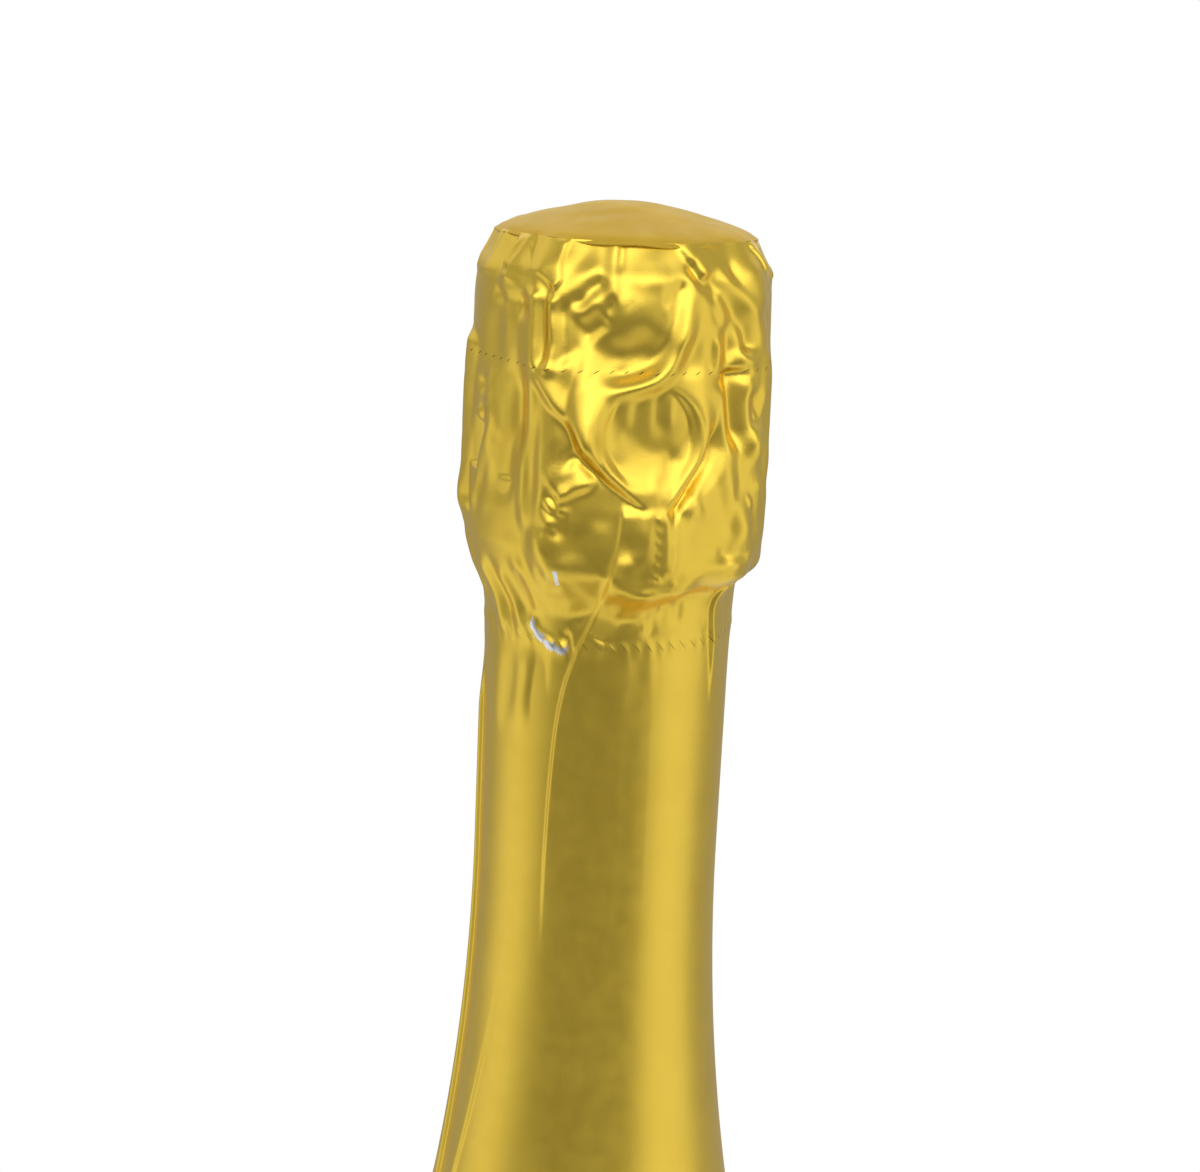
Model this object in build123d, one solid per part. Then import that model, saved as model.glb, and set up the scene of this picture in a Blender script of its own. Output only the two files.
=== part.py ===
"""Champagne bottle, sealed and foiled: glass, cork, wire hood and foil capsule.

Millimetres, +Z up, origin on the table under the centre of the base. Azimuths are in degrees, from 0 at the
front (-Y) towards the right (+X). Drops are measured down from the glass's mouth or the foil's rim.
"""
import math
import os

from build123d import *

# Glass bottle, outside
bottle_height = 300.0
body_radius = 44.2
heel_fillet = 9.0
bearing_width = 4.2
bearing_fillet = 1.6
punt_height = 31.0
punt_tip_radius = 5.0
punt_tip_fillet = 7.5
shoulder_radius = 57.0
throat_radius = 82.0
flare_radius = 275.0
flare_angle = 9.4
flare_top_drop = 57.0
neck_radius = 14.4

# Glass bottle, inside
body_wall = 4.5
base_wall = 7.0
inner_heel_fillet = 6.0
inner_valley_fillet = 4.0
bore_radius = 8.8
bore_depth = 27.0
bore_taper = 12.0

# Mouth of the glass: the square ring that the wire hood grips, a groove and the rounded lip
ring_radius = 17.0
ring_height = 8.2
ring_drop = 18.6
ring_fillet = 1.1
groove_radius = 13.1
groove_height = 3.4
mouth_slope = 0.7
mouth_blend = 0.6
lip_radius = 14.3
lip_fillet = 2.4

# Cork
cork_clearance = 0.05
cork_seat_gap = 0.1
cork_depth = 24.0
cork_disc_thickness = 5.4
head_foot_radius = 13.2
head_radius = 15.0
head_widest_height = 7.6
head_top_radius = 14.0
head_height = 19.35

# Plaque: the stamped metal cap between the cork and the wire
plaque_thickness = 0.3
plaque_gap = 0.25
plaque_dome_radius = 9.2
plaque_dome_fall = 2.1
plaque_channel_inner = 11.9
plaque_channel_outer = 14.4
plaque_channel_fall = 4.1
plaque_rim_radius = 15.0
plaque_rim_fall = 5.4

# Wire hood: a ring in the plaque's channel, twisted legs with eyes, and the belt that runs through them
leg_wire_diameter = 0.95
leg_count = 4
leg_first_azimuth = 61.0
leg_draw_angle = 9.0
leg_half_turns = 8
leg_flat_length = 4.4
leg_gap = 0.07
leg_eye_gap = 0.05
leg_bend_fall = 2.6
leg_bend_start = 1.2
leg_bend_radius = 1.3
leg_knee_radius = 9.0
leg_foot_radius = 1.5
cap_ring_wire_diameter = 1.0
cap_ring_radius = 13.15
cap_ring_gap = 0.02
belt_wire_diameter = 1.2
belt_neck_gap = 0.1
belt_ring_gap = 0.1
belt_mouth_half_width = 2.3
wire_sides = 6

# Twist loop that opens the hood, folded up against the glass ring midway between two legs
loop_wire_diameter = 1.1
loop_radius = 5.9
loop_lean_angle = 6.0
loop_sway_angle = 8.0
loop_knuckle_half_length = 2.0
loop_knuckle_gap = 0.1
tail_length = 8.0
tail_half_turns = 6
twist_steps = 4

# Foil capsule
foil_thickness = 0.2
foil_gap = 0.15
foil_disc_radius = 15.6
foil_disc_height = 3.4
foil_disc_gap = 0.2
foil_plateau_radius = 2.8
foil_plateau_fall = 0.1
foil_rim_gap = 0.05
foil_rim_inset = 0.2
hood_shoulder_drop = 6.0
hood_radius = 17.15
hood_ring_gap = 0.5
hood_waist_drop = 4.4
hood_waist_gap = 0.6
hood_fine_columns = 12
hood_coarse_columns = 12
crown_pleat_count = 16
crown_pleat_depth = 0.35
crown_pleat_length = 12.0
leg_drape_flat_angle = 3.0
leg_drape_angle = 20.0
loop_drape_flat = 2.4
loop_drape_reach = 4.4
upper_tear_drop = 13.9
lower_tear_drop = 45.9
tear_line_gap = 0.12
sleeve_length = 84.0
sleeve_gap = 0.15
sleeve_columns = 48
sleeve_tuck_height = 0.4
sleeve_tuck_angle = 26.0
sleeve_tucks = [(-77.0, 6.0), (4.0, -62.0), (44.0, -8.0)]
level_step = 1.9
sleeve_level_step = 9.0
cut_overrun = 2.0

# Places that follow from the sizes above
mouth_z = bottle_height
ring_bottom_z = mouth_z - ring_drop
ring_top_z = ring_bottom_z + ring_height
lip_bottom_z = ring_top_z + groove_height
flare_top_z = mouth_z - flare_top_drop
cork_bottom_z = mouth_z - cork_depth
head_z = mouth_z + cork_seat_gap
cork_top_z = head_z + head_height
plaque_z = cork_top_z + plaque_gap + plaque_thickness
channel_z = plaque_z - plaque_channel_fall
cap_ring_z = channel_z + cap_ring_gap + cap_ring_wire_diameter / 2
pair_width = 2 * leg_wire_diameter
leg_side_radius = head_radius + leg_gap + pair_width / 2
leg_ring_radius = ring_radius + leg_gap + pair_width / 2
eye_radius = belt_wire_diameter / 2 + leg_eye_gap + leg_wire_diameter / 2
eye_reach = eye_radius + leg_wire_diameter / 2
belt_radius = neck_radius + belt_neck_gap + eye_reach
belt_z = ring_bottom_z - belt_ring_gap - eye_reach
bearing_inner_radius = body_radius - heel_fillet - bearing_width
leg_side_z = cap_ring_z - leg_bend_fall
leg_azimuths = [leg_first_azimuth + 360 / leg_count * i for i in range(leg_count)]
loop_azimuth = leg_first_azimuth - 180 / leg_count
loop_plane = leg_ring_radius
knuckle_bottom_z = belt_z - belt_wire_diameter / 2 - foil_gap
tail_top_z = belt_z + tail_length
disc_z = plaque_z + foil_disc_gap + foil_thickness
foil_rim_z = disc_z - foil_disc_height
crown_top_z = foil_rim_z - foil_thickness - foil_rim_gap
upper_tear_z = foil_rim_z - upper_tear_drop
lower_tear_z = foil_rim_z - lower_tear_drop
sleeve_end_z = lower_tear_z - sleeve_length


def at(radius, azimuth, z):
    """The point at this radius and azimuth."""
    angle = math.radians(azimuth)
    return Vector(radius * math.sin(angle), -radius * math.cos(angle), z)


def arc_point(centre, radius, angle):
    """The point of a circle in the profile plane at an angle above the radial direction."""
    return (centre[0] + radius * math.cos(angle), centre[1] + radius * math.sin(angle))


def spin(*edges):
    """The solid that a closed profile, drawn as radius and height, sweeps about the bottle's axis."""
    return revolve(make_face(Plane.XZ * (Curve() + list(edges))), Axis.Z)


def along(points, z):
    """The radius at this height on lines through (height, radius) points, given from the top down."""
    if z >= points[0][0]:
        return points[0][1]
    for (high, r_high), (low, r_low) in zip(points, points[1:]):
        if z >= low:
            return r_low + (r_high - r_low) * (z - low) / (high - low)
    return points[-1][1]


def turn_between(azimuth, other):
    """The signed angle from other to azimuth."""
    return (azimuth - other + 180) % 360 - 180


def leg_azimuth_at(head_azimuth, z):
    """A leg's azimuth at this height: the tightened belt draws the front legs' feet to the twist loop."""
    away = turn_between(head_azimuth, loop_azimuth)
    if abs(away) > 90:
        return head_azimuth
    share = min(1.0, max(0.0, (leg_side_z - z) / (leg_side_z - belt_z)))
    return head_azimuth - math.copysign(leg_draw_angle * share, away)


def side_centres():
    """The centres of the bottle's three side arcs, and the slope where shoulder and throat meet.

    From the body up these are the convex shoulder, the concave throat and the long flare of the neck.
    """
    lean = math.radians(flare_angle)
    flare_centre = (neck_radius + flare_radius, flare_top_z)
    throat_centre = arc_point(arc_point(flare_centre, -flare_radius, lean), throat_radius, lean)
    spread = throat_centre[0] - body_radius + shoulder_radius
    steepest = math.acos(spread / (throat_radius + shoulder_radius))
    meeting = arc_point(throat_centre, -throat_radius, steepest)
    shoulder_centre = arc_point(meeting, -shoulder_radius, steepest)
    return shoulder_centre, throat_centre, flare_centre, steepest


def bottle_side(wall):
    """The side curve this far inside the glass surface, with its lowest and highest points."""
    shoulder_centre, throat_centre, flare_centre, steepest = side_centres()
    lean = math.radians(flare_angle)
    r_shoulder, r_throat, r_flare = shoulder_radius - wall, -throat_radius - wall, -flare_radius - wall
    p_body = arc_point(shoulder_centre, r_shoulder, 0)
    p_shoulder = arc_point(shoulder_centre, r_shoulder, steepest)
    p_throat = arc_point(throat_centre, r_throat, lean)
    p_neck = arc_point(flare_centre, r_flare, 0)
    side = [
        ThreePointArc(p_body, arc_point(shoulder_centre, r_shoulder, steepest / 2), p_shoulder),
        ThreePointArc(p_shoulder, arc_point(throat_centre, r_throat, (steepest + lean) / 2), p_throat),
        ThreePointArc(p_throat, arc_point(flare_centre, r_flare, lean / 2), p_neck),
    ]
    return side, p_body, p_neck


def glass_radius(z):
    """The outer radius of the neck, flare and throat at this height."""
    _, throat_centre, flare_centre, _ = side_centres()
    if z >= flare_top_z:
        return neck_radius
    flare_end_z = flare_top_z - flare_radius * math.sin(math.radians(flare_angle))
    if z >= flare_end_z:
        return flare_centre[0] - math.sqrt(flare_radius**2 - (flare_centre[1] - z) ** 2)
    return throat_centre[0] - math.sqrt(throat_radius**2 - (throat_centre[1] - z) ** 2)


def base_and_side(wall, tip_z, floor_z, fillets):
    """Half of the body's outline from the axis over the punt, round the heel and up to the neck."""
    side, p_body, p_neck = bottle_side(wall)
    base = FilletPolyline(
        (0, tip_z), (punt_tip_radius, tip_z), (bearing_inner_radius, floor_z), (p_body[0], floor_z), p_body,
        radius=fillets,
    )
    return [base, *side], p_neck


def glass_bottle():
    outside, p_neck = base_and_side(0, punt_height, 0, (punt_tip_fillet, bearing_fillet, heel_fillet))
    mouth = FilletPolyline(
        p_neck,
        (neck_radius, ring_bottom_z),
        (ring_radius, ring_bottom_z + mouth_slope),
        (ring_radius, ring_top_z),
        (groove_radius, ring_top_z + mouth_slope),
        (groove_radius, lip_bottom_z),
        (lip_radius, lip_bottom_z + mouth_slope),
        (lip_radius, mouth_z),
        (0, mouth_z),
        radius=(mouth_blend, ring_fillet, ring_fillet, mouth_blend, mouth_blend, mouth_blend, lip_fillet),
    )
    glass = spin(*outside, mouth, Line((0, mouth_z), (0, punt_height)))

    inside_tip_z = punt_height + base_wall
    inside, p_inner_neck = base_and_side(
        body_wall, inside_tip_z, base_wall, (punt_tip_fillet, inner_valley_fillet, inner_heel_fillet)
    )
    bore = Polyline(
        p_inner_neck,
        (p_inner_neck[0], mouth_z - bore_depth - bore_taper),
        (bore_radius, mouth_z - bore_depth),
        (bore_radius, mouth_z + cut_overrun),
        (0, mouth_z + cut_overrun),
        (0, inside_tip_z),
    )
    cavity = spin(*inside, bore)
    return glass - cavity


def cork_pieces():
    """The agglomerate cork, its head pressed to the plaque's shape, and two natural discs under it."""
    shank_radius = bore_radius - cork_clearance
    shank_z = cork_bottom_z + 2 * cork_disc_thickness
    shoulder_z = cork_top_z - plaque_channel_fall
    body = spin(
        Polyline(
            (0, shank_z), (shank_radius, shank_z), (shank_radius, head_z), (head_foot_radius, head_z)
        ),
        ThreePointArc(
            (head_foot_radius, head_z),
            (head_radius, head_z + head_widest_height),
            (head_top_radius, shoulder_z),
        ),
        Polyline(
            (head_top_radius, shoulder_z),
            (plaque_channel_inner - plaque_gap, shoulder_z),
            (plaque_dome_radius, cork_top_z - plaque_dome_fall),
            (0, cork_top_z),
            (0, shank_z),
        ),
    )
    disc = Cylinder(shank_radius, cork_disc_thickness, align=(Align.CENTER, Align.CENTER, Align.MIN))
    return {
        "cork_body": body,
        "cork_disc_upper": Pos(0, 0, cork_bottom_z + cork_disc_thickness) * disc,
        "cork_disc_lower": Pos(0, 0, cork_bottom_z) * disc,
    }


def plaque():
    """Stamped cap: a low dome, the channel that the top ring of wire lies in, and a turned-down rim."""
    return spin(
        Polyline(
            (0, plaque_z),
            (plaque_dome_radius, plaque_z - plaque_dome_fall),
            (plaque_channel_inner, channel_z),
            (plaque_channel_outer, channel_z),
            (plaque_rim_radius, plaque_z - plaque_rim_fall),
            (plaque_rim_radius - plaque_thickness, plaque_z - plaque_rim_fall),
            (plaque_channel_outer - plaque_thickness, channel_z - plaque_thickness),
            (plaque_channel_inner, channel_z - plaque_thickness),
            (plaque_dome_radius, plaque_z - plaque_dome_fall - plaque_thickness),
            (0, plaque_z - plaque_thickness),
            close=True,
        )
    )


def wire_section(wire):
    """Corners of one round wire's section."""
    turns = [2 * math.pi * (i + 0.5) / wire_sides for i in range(wire_sides)]
    return [(wire / 2 * math.cos(turn), wire / 2 * math.sin(turn)) for turn in turns]


def pair_section(wire):
    """Corners of the section of two wires lying side by side, pinched in where they touch."""
    angles = [math.radians(angle) for angle in (-90, -30, 30, 90)]
    lobe = [(wire / 2 + wire / 2 * math.cos(a), wire / 2 * math.sin(a)) for a in angles]
    return [*lobe, (0, wire / 4), *[(-x, -y) for x, y in lobe], (0, -wire / 4)]


def twisted_pair(path, azimuth_at, wire, flat_length, half_turns):
    """Two wires side by side along a path drawn as radius and height, twisted past flat_length."""
    length = path.length
    twist_length = length - flat_length
    count = twist_steps * half_turns
    stations = [flat_length + twist_length * step / count for step in range(count + 1)]
    flat_count = math.ceil(flat_length / (twist_length / count))
    flat_stations = [flat_length * step / flat_count for step in range(flat_count)]
    sections = []
    for station in flat_stations + stations:
        centre = path @ (station / length)
        heading = path % (station / length)
        azimuth = azimuth_at(centre.Z)
        across = at(1, azimuth + 90, 0)
        away = across.cross(at(heading.X, azimuth, heading.Z))
        turn = math.pi * half_turns * max(0.0, station - flat_length) / twist_length
        corners = [
            at(centre.X, azimuth, centre.Z)
            + across * (x * math.cos(turn) - y * math.sin(turn))
            + away * (x * math.sin(turn) + y * math.cos(turn))
            for x, y in pair_section(wire)
        ]
        sections.append(Wire.make_polygon(corners, close=True))
    return Solid.make_loft(sections, ruled=True)


def wire_eye(azimuth):
    """The eye at a leg's foot, round the belt."""
    corners = [(eye_radius + x, y) for x, y in wire_section(leg_wire_diameter)]
    section = make_face(Polyline(*corners, close=True))
    place = Plane(at(belt_radius, azimuth, belt_z), x_dir=at(1, azimuth, 0), z_dir=at(1, azimuth - 90, 0))
    return place * revolve(Plane.XZ * section, Axis.Z)


def leg(azimuth):
    """A leg: two wires side by side over the plaque's rim, twisted down the side, and an eye at the foot."""
    start = cap_ring_radius + cap_ring_wire_diameter / 2 + leg_gap
    path = Plane.XZ * FilletPolyline(
        (start, cap_ring_z),
        (start + leg_bend_start, cap_ring_z),
        (leg_side_radius, leg_side_z),
        (leg_ring_radius, ring_top_z),
        (leg_ring_radius, ring_bottom_z),
        (belt_radius + eye_radius, belt_z),
        radius=(leg_bend_radius, leg_bend_radius, leg_knee_radius, leg_foot_radius),
    )

    def azimuth_at(z):
        return leg_azimuth_at(azimuth, z)

    pair = twisted_pair(path, azimuth_at, leg_wire_diameter, leg_flat_length, leg_half_turns)
    return pair + wire_eye(azimuth_at(belt_z))


def cap_ring():
    """The ring of wire that lies in the plaque's channel."""
    section = wire_section(cap_ring_wire_diameter)
    return spin(Polyline(*[(cap_ring_radius + x, cap_ring_z + y) for x, y in section], close=True))


def swept_wire(path, wire, x_dir):
    """A round wire, drawn with a few flats, along a path."""
    start = Plane(path @ 0, x_dir=x_dir, z_dir=path % 0)
    section = make_face(start * Polyline(*wire_section(wire), close=True))
    return sweep(section, path)


def belt():
    """The belt under the glass ring, open where its two ends turn out to the twist loop."""
    gap_angle = math.degrees(math.asin(belt_mouth_half_width / belt_radius))
    ends = [at(belt_radius, loop_azimuth + side * gap_angle, belt_z) for side in (1, -1)]
    round_back = ThreePointArc(ends[0], at(belt_radius, loop_azimuth + 180, belt_z), ends[1])
    out = at(1, loop_azimuth, 0)
    wires = swept_wire(round_back, belt_wire_diameter, Vector(0, 0, 1))
    for end in ends:
        reach = loop_plane - belt_wire_diameter / 2 - loop_knuckle_gap - end.dot(out)
        stub = Line(end - out * belt_wire_diameter / 2, end + out * reach)
        wires += swept_wire(stub, belt_wire_diameter, Vector(0, 0, 1))
    return wires


def twist_loop():
    """The eye that is turned to open the hood, on its twisted tail, with the knuckle that it folds about.

    The eye leans back against the glass, and sways to the left on its tail.
    """
    out = at(1, loop_azimuth, 0)
    across = at(1, loop_azimuth + 90, 0)
    foot = out * loop_plane + Vector(0, 0, belt_z)
    knuckle = Plane(foot, z_dir=across) * Cylinder(belt_wire_diameter / 2, 2 * loop_knuckle_half_length)
    tail_path = Plane.XZ * Line((loop_plane, belt_z), (loop_plane, tail_top_z))
    tail = twisted_pair(tail_path, lambda z: loop_azimuth, leg_wire_diameter, 0, tail_half_turns)

    lean = math.radians(loop_lean_angle)
    sway = math.radians(loop_sway_angle)
    outward = out * math.cos(lean) + Vector(0, 0, math.sin(lean))
    face = Plane(
        out * loop_plane + Vector(0, 0, tail_top_z),
        x_dir=across * math.cos(sway) + outward.cross(across) * math.sin(sway),
        z_dir=outward,
    )
    centre_height = loop_radius * math.sqrt(2)
    shoulder = loop_radius / math.sqrt(2)
    foot_gap = loop_wire_diameter / 2
    eye_path = face * (
        Curve()
        + [
            Line((foot_gap, 0), (shoulder, centre_height - shoulder)),
            ThreePointArc(
                (shoulder, centre_height - shoulder),
                (0, centre_height + loop_radius),
                (-shoulder, centre_height - shoulder),
            ),
            Line((-shoulder, centre_height - shoulder), (-foot_gap, 0)),
        ]
    )
    eye = swept_wire(eye_path, loop_wire_diameter, face.z_dir)
    return knuckle + tail + eye


def faded(distance, flat, reach):
    """1 up to flat, falling in an even S to 0 at reach."""
    share = min(1.0, max(0.0, (distance - flat) / (reach - flat)))
    return 1 - share * share * (3 - 2 * share)


def hood_core(z):
    """Inner radius of the foil between the legs, from the drawn-in rim past ring and belt to the neck."""
    belt_bottom_z = belt_z - belt_wire_diameter / 2
    return along(
        [
            (crown_top_z, foil_disc_radius - foil_rim_inset - foil_thickness),
            (foil_rim_z - hood_shoulder_drop, hood_radius),
            (ring_top_z, hood_radius),
            (ring_top_z - ring_height / 3, ring_radius + hood_ring_gap),
            (ring_bottom_z, ring_radius + hood_ring_gap),
            (belt_bottom_z, belt_radius + belt_wire_diameter / 2 + foil_gap),
            (belt_bottom_z - hood_waist_drop, neck_radius + hood_waist_gap),
            (lower_tear_z, neck_radius + sleeve_gap),
        ],
        z,
    )


def leg_crest(z):
    """Inner radius of the foil where it is drawn over a leg and its eye."""
    half = pair_width / 2 + foil_gap
    eye_bottom_z = belt_z - eye_reach
    bend = cap_ring_radius + cap_ring_wire_diameter / 2 + leg_gap + leg_bend_start
    return along(
        [
            (cap_ring_z, bend + leg_wire_diameter / 2 + foil_gap),
            (leg_side_z, leg_side_radius + half),
            (ring_top_z, leg_ring_radius + half),
            (ring_bottom_z, leg_ring_radius + half),
            (belt_z, belt_radius + eye_radius + half),
            (eye_bottom_z - foil_gap, belt_radius + eye_radius),
            (eye_bottom_z - hood_waist_drop, neck_radius + hood_waist_gap),
            (lower_tear_z, neck_radius + sleeve_gap),
        ],
        z,
    )


def loop_outline_distance(sideways, z):
    """How far this place on the loop's plane lies outside the middle line of the loop and its tail."""
    sway = math.radians(loop_sway_angle)
    rise = z - tail_top_z
    height = rise * math.cos(sway) - sideways * math.sin(sway)
    aside = sideways * math.cos(sway) + rise * math.sin(sway)
    distance = math.hypot(aside, height - loop_radius * math.sqrt(2)) - loop_radius
    if 0 <= height <= loop_radius / math.sqrt(2):
        distance = min(distance, abs(aside) - height)
    if knuckle_bottom_z <= z <= tail_top_z:
        distance = min(distance, abs(sideways) - pair_width / 2)
    return distance


def loop_cover(azimuth, z, core):
    """Inner radius of the foil near the twist loop."""
    away = turn_between(azimuth, loop_azimuth)
    if abs(away) >= 180 / leg_count:
        return core
    lean = math.tan(math.radians(loop_lean_angle))
    plane = loop_plane - max(0.0, z - tail_top_z) * lean
    half = max(loop_wire_diameter, pair_width * faded(z - tail_top_z, 0, loop_radius)) / 2
    face = (plane + half + foil_gap) / math.cos(math.radians(away))
    distance = loop_outline_distance(plane * math.tan(math.radians(away)), z)
    cover = core + (face - core) * faded(distance, loop_drape_flat, loop_drape_reach)
    return max(core, cover)


def hood_radius_at(azimuth, z):
    """Inner radius of the hood's foil, draped over the legs and the loop."""
    core = hood_core(z)
    drape = 0.0
    for head_azimuth in leg_azimuths:
        away = abs(turn_between(azimuth, leg_azimuth_at(head_azimuth, z)))
        drape = max(drape, faded(away, leg_drape_flat_angle, leg_drape_angle))
    over_legs = core + max(0.0, leg_crest(z) - core) * drape
    return max(over_legs, loop_cover(azimuth, z, core))


def crown_radius_at(azimuth, z):
    """The hood's radius with the pleats that gather the tube in under the disc."""
    wave = abs((azimuth * crown_pleat_count / 360) % 1 - 1 / 2) * 2
    depth = crown_pleat_depth * faded(foil_rim_z - z, 0, crown_pleat_length)
    return hood_radius_at(azimuth, z) + depth * wave


def sleeve_radius_at(azimuth, z):
    """The neck's radius with the tucks of the foil, each with a sharp edge that falls away to one side."""
    share = (lower_tear_z - z) / sleeve_length
    height = 0.0
    for start, turn in sleeve_tucks:
        past_edge = turn_between(azimuth, start + turn * share)
        if 0 <= past_edge < sleeve_tuck_angle:
            height = max(height, sleeve_tuck_height * (1 - past_edge / sleeve_tuck_angle))
    return glass_radius(z) + sleeve_gap + height


def foil_shell(radius_at, azimuths, levels):
    """A thin skin whose inner radius is radius_at(azimuth, z), with flat faces between these heights."""

    def ring(z, grow, height):
        corners = [at(radius_at(azimuth, z) + grow, azimuth, height) for azimuth in azimuths]
        return Wire.make_polygon(corners, close=True)

    top, bottom = levels[0], levels[-1]
    outer = Solid.make_loft([ring(z, foil_thickness, z) for z in levels], ruled=True)
    inner_levels = [(top, top + cut_overrun), *[(z, z) for z in levels], (bottom, bottom - cut_overrun)]
    inner = Solid.make_loft([ring(z, 0, height) for z, height in inner_levels], ruled=True)
    return outer - inner


def levels_through(step, *heights):
    """The given heights, from the top down, with more between them to keep them about a step apart."""
    levels = [heights[0]]
    for high, low in zip(heights, heights[1:]):
        count = max(1, round((high - low) / step))
        levels += [high + (low - high) * (i + 1) / count for i in range(count)]
    return levels


def foil_pieces():
    """The disc, the pleated crown down to the upper tear line, the band and the sleeve on the neck."""
    plateau_z = disc_z - foil_plateau_fall
    disc = spin(
        Polyline(
            (0, disc_z),
            (foil_plateau_radius, plateau_z),
            (foil_disc_radius, foil_rim_z),
            (foil_disc_radius, foil_rim_z - foil_thickness),
            (foil_plateau_radius, plateau_z - foil_thickness),
            (0, disc_z - foil_thickness),
            close=True,
        )
    )
    fine = 180 / leg_count / hood_fine_columns
    front = [loop_azimuth + fine * i for i in range(1 - hood_fine_columns, hood_fine_columns)]
    coarse = 360 / leg_count / hood_coarse_columns
    rear_count = hood_coarse_columns * (leg_count - 1) + 1
    rear = [leg_first_azimuth + coarse * i for i in range(rear_count)]
    half_gap = tear_line_gap / 2
    crown_levels = levels_through(
        level_step, crown_top_z, cap_ring_z, leg_side_z, foil_rim_z - hood_shoulder_drop,
        upper_tear_z + half_gap,
    )
    band_levels = levels_through(
        level_step, upper_tear_z - half_gap, ring_top_z, ring_bottom_z, belt_z, knuckle_bottom_z,
        belt_z - eye_reach - foil_gap, belt_z - eye_reach - hood_waist_drop, lower_tear_z + half_gap,
    )
    sleeve_levels = levels_through(sleeve_level_step, lower_tear_z - half_gap, flare_top_z, sleeve_end_z)
    sleeve_azimuths = [360 * i / sleeve_columns for i in range(sleeve_columns)]
    return {
        "foil_disc": disc,
        "foil_crown": foil_shell(crown_radius_at, front + rear, crown_levels),
        "foil_tear_band": foil_shell(hood_radius_at, front + rear, band_levels),
        "foil_neck_sleeve": foil_shell(sleeve_radius_at, sleeve_azimuths, sleeve_levels),
    }


def main():
    os.makedirs("parts", exist_ok=True)
    pieces = {"glass_bottle": glass_bottle(), **cork_pieces(), "plaque": plaque()}
    pieces["wire_cap_ring"] = cap_ring()
    for number, azimuth in enumerate(leg_azimuths, start=1):
        pieces[f"wire_leg_{number}"] = leg(azimuth)
    pieces["wire_belt"] = belt()
    pieces["wire_twist_loop"] = twist_loop()
    pieces.update(foil_pieces())
    for name, shape in pieces.items():
        export_step(shape, f"parts/{name}.step")


main()
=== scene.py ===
"""Looks of a sealed champagne bottle: crumpled gold foil over a wire hood, cork, and dark green glass.

Lengths are in millimetres and angles in degrees. An azimuth is 0 at the front (-Y) and grows towards the
right (+X). A drop is a height measured down from the rim of the foil disc. Meshes are scaled to metres.
"""
import math

import bpy
import numpy as np
from mathutils import Matrix, Vector


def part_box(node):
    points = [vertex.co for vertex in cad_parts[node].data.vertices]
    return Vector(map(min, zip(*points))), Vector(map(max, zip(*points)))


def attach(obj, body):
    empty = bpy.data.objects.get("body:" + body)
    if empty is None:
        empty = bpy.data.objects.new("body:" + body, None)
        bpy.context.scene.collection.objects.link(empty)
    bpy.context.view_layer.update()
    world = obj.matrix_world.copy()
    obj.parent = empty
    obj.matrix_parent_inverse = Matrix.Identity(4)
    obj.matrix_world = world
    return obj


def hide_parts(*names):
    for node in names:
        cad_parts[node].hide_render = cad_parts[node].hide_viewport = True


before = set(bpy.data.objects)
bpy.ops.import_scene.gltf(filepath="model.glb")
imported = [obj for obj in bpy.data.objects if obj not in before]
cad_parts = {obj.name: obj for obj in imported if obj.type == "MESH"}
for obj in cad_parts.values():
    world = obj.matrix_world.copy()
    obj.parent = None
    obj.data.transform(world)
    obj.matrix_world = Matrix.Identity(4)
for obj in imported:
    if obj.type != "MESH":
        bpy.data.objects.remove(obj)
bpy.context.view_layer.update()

metres_per_mm = 0.001

# Photograph: its frame, the lens in pixels, and where the bottle stands in it
photo_width = 1200
photo_lens = 2143.0
camera_distance = 250.0
camera_above_rim = 22.0
camera_pitch = 14.47
camera_yaw = 0.257
camera_roll = 2.70
sensor_width = 36.0
camera_clip_start = 0.01

# Bottle's neck outside, as in the solid: three arcs
neck_radius = 14.4
flare_radius = 275.0
flare_angle = 9.4
flare_top_z = 243.0
throat_radius = 82.0

# Glass, cork and plaque under the foil, as in the solids
ring_radius = 17.0
ring_height = 8.2
ring_over_belt = 1.7
cork_head_radius = 15.0
plaque_rim_radius = 14.1
plaque_rim_slope_share = 0.4

# Wires: their thickness, bends and turns
leg_wire = 0.95
cap_ring_wire = 1.0
cap_ring_points = 120
belt_wire = 1.2
loop_wire = 1.1
leg_half_turns = 14
leg_flat_length = 4.4
leg_bend_start = 1.2
leg_bend_fall = 2.6
leg_bend_radius = 1.3
leg_knee_radius = 9.0
leg_foot_radius = 1.5
tail_half_turns = 6
wire_gap = 0.07
eye_gap = 0.05
belt_mouth_half_width = 2.3
belt_bend_radius = 1.0
belt_bend_angle = 8.0
belt_step_angle = 4.0
belt_steps = 81
knuckle_half_length = 2.0
knuckle_gap = 0.1
knuckle_points = 15
loop_azimuth = 16.0
loop_radius = 5.9
loop_lean = 6.0
loop_sway = 8.0
loop_points = 40
tail_length = 8.0
strand_step = 0.3

# Legs: each one's azimuths at its head and its foot, and the drops between which it leans
legs = [(61.0, 52.0), (151.0, 151.0), (241.0, 241.0), (-29.0, -20.0)]
lean_start, lean_end = 3.2, 37.3

# Foil
foil_thickness = 0.2
foil_lift = 0.15
inner_share = 0.6
crown_top = -0.05

# Foil pressed over the twist loop: its dished face, and how far each side reaches from the loop's edge
loop_half_angle = 60.0
dish_depth = 0.95
dish_edge_power = 24
loop_flat = 0.35
loop_right_reach = 1.0
loop_left_reach = 2.6
loop_side_reach = 1.6
loop_top_reach = 2.4
loop_foot_reach = 0.5

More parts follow.
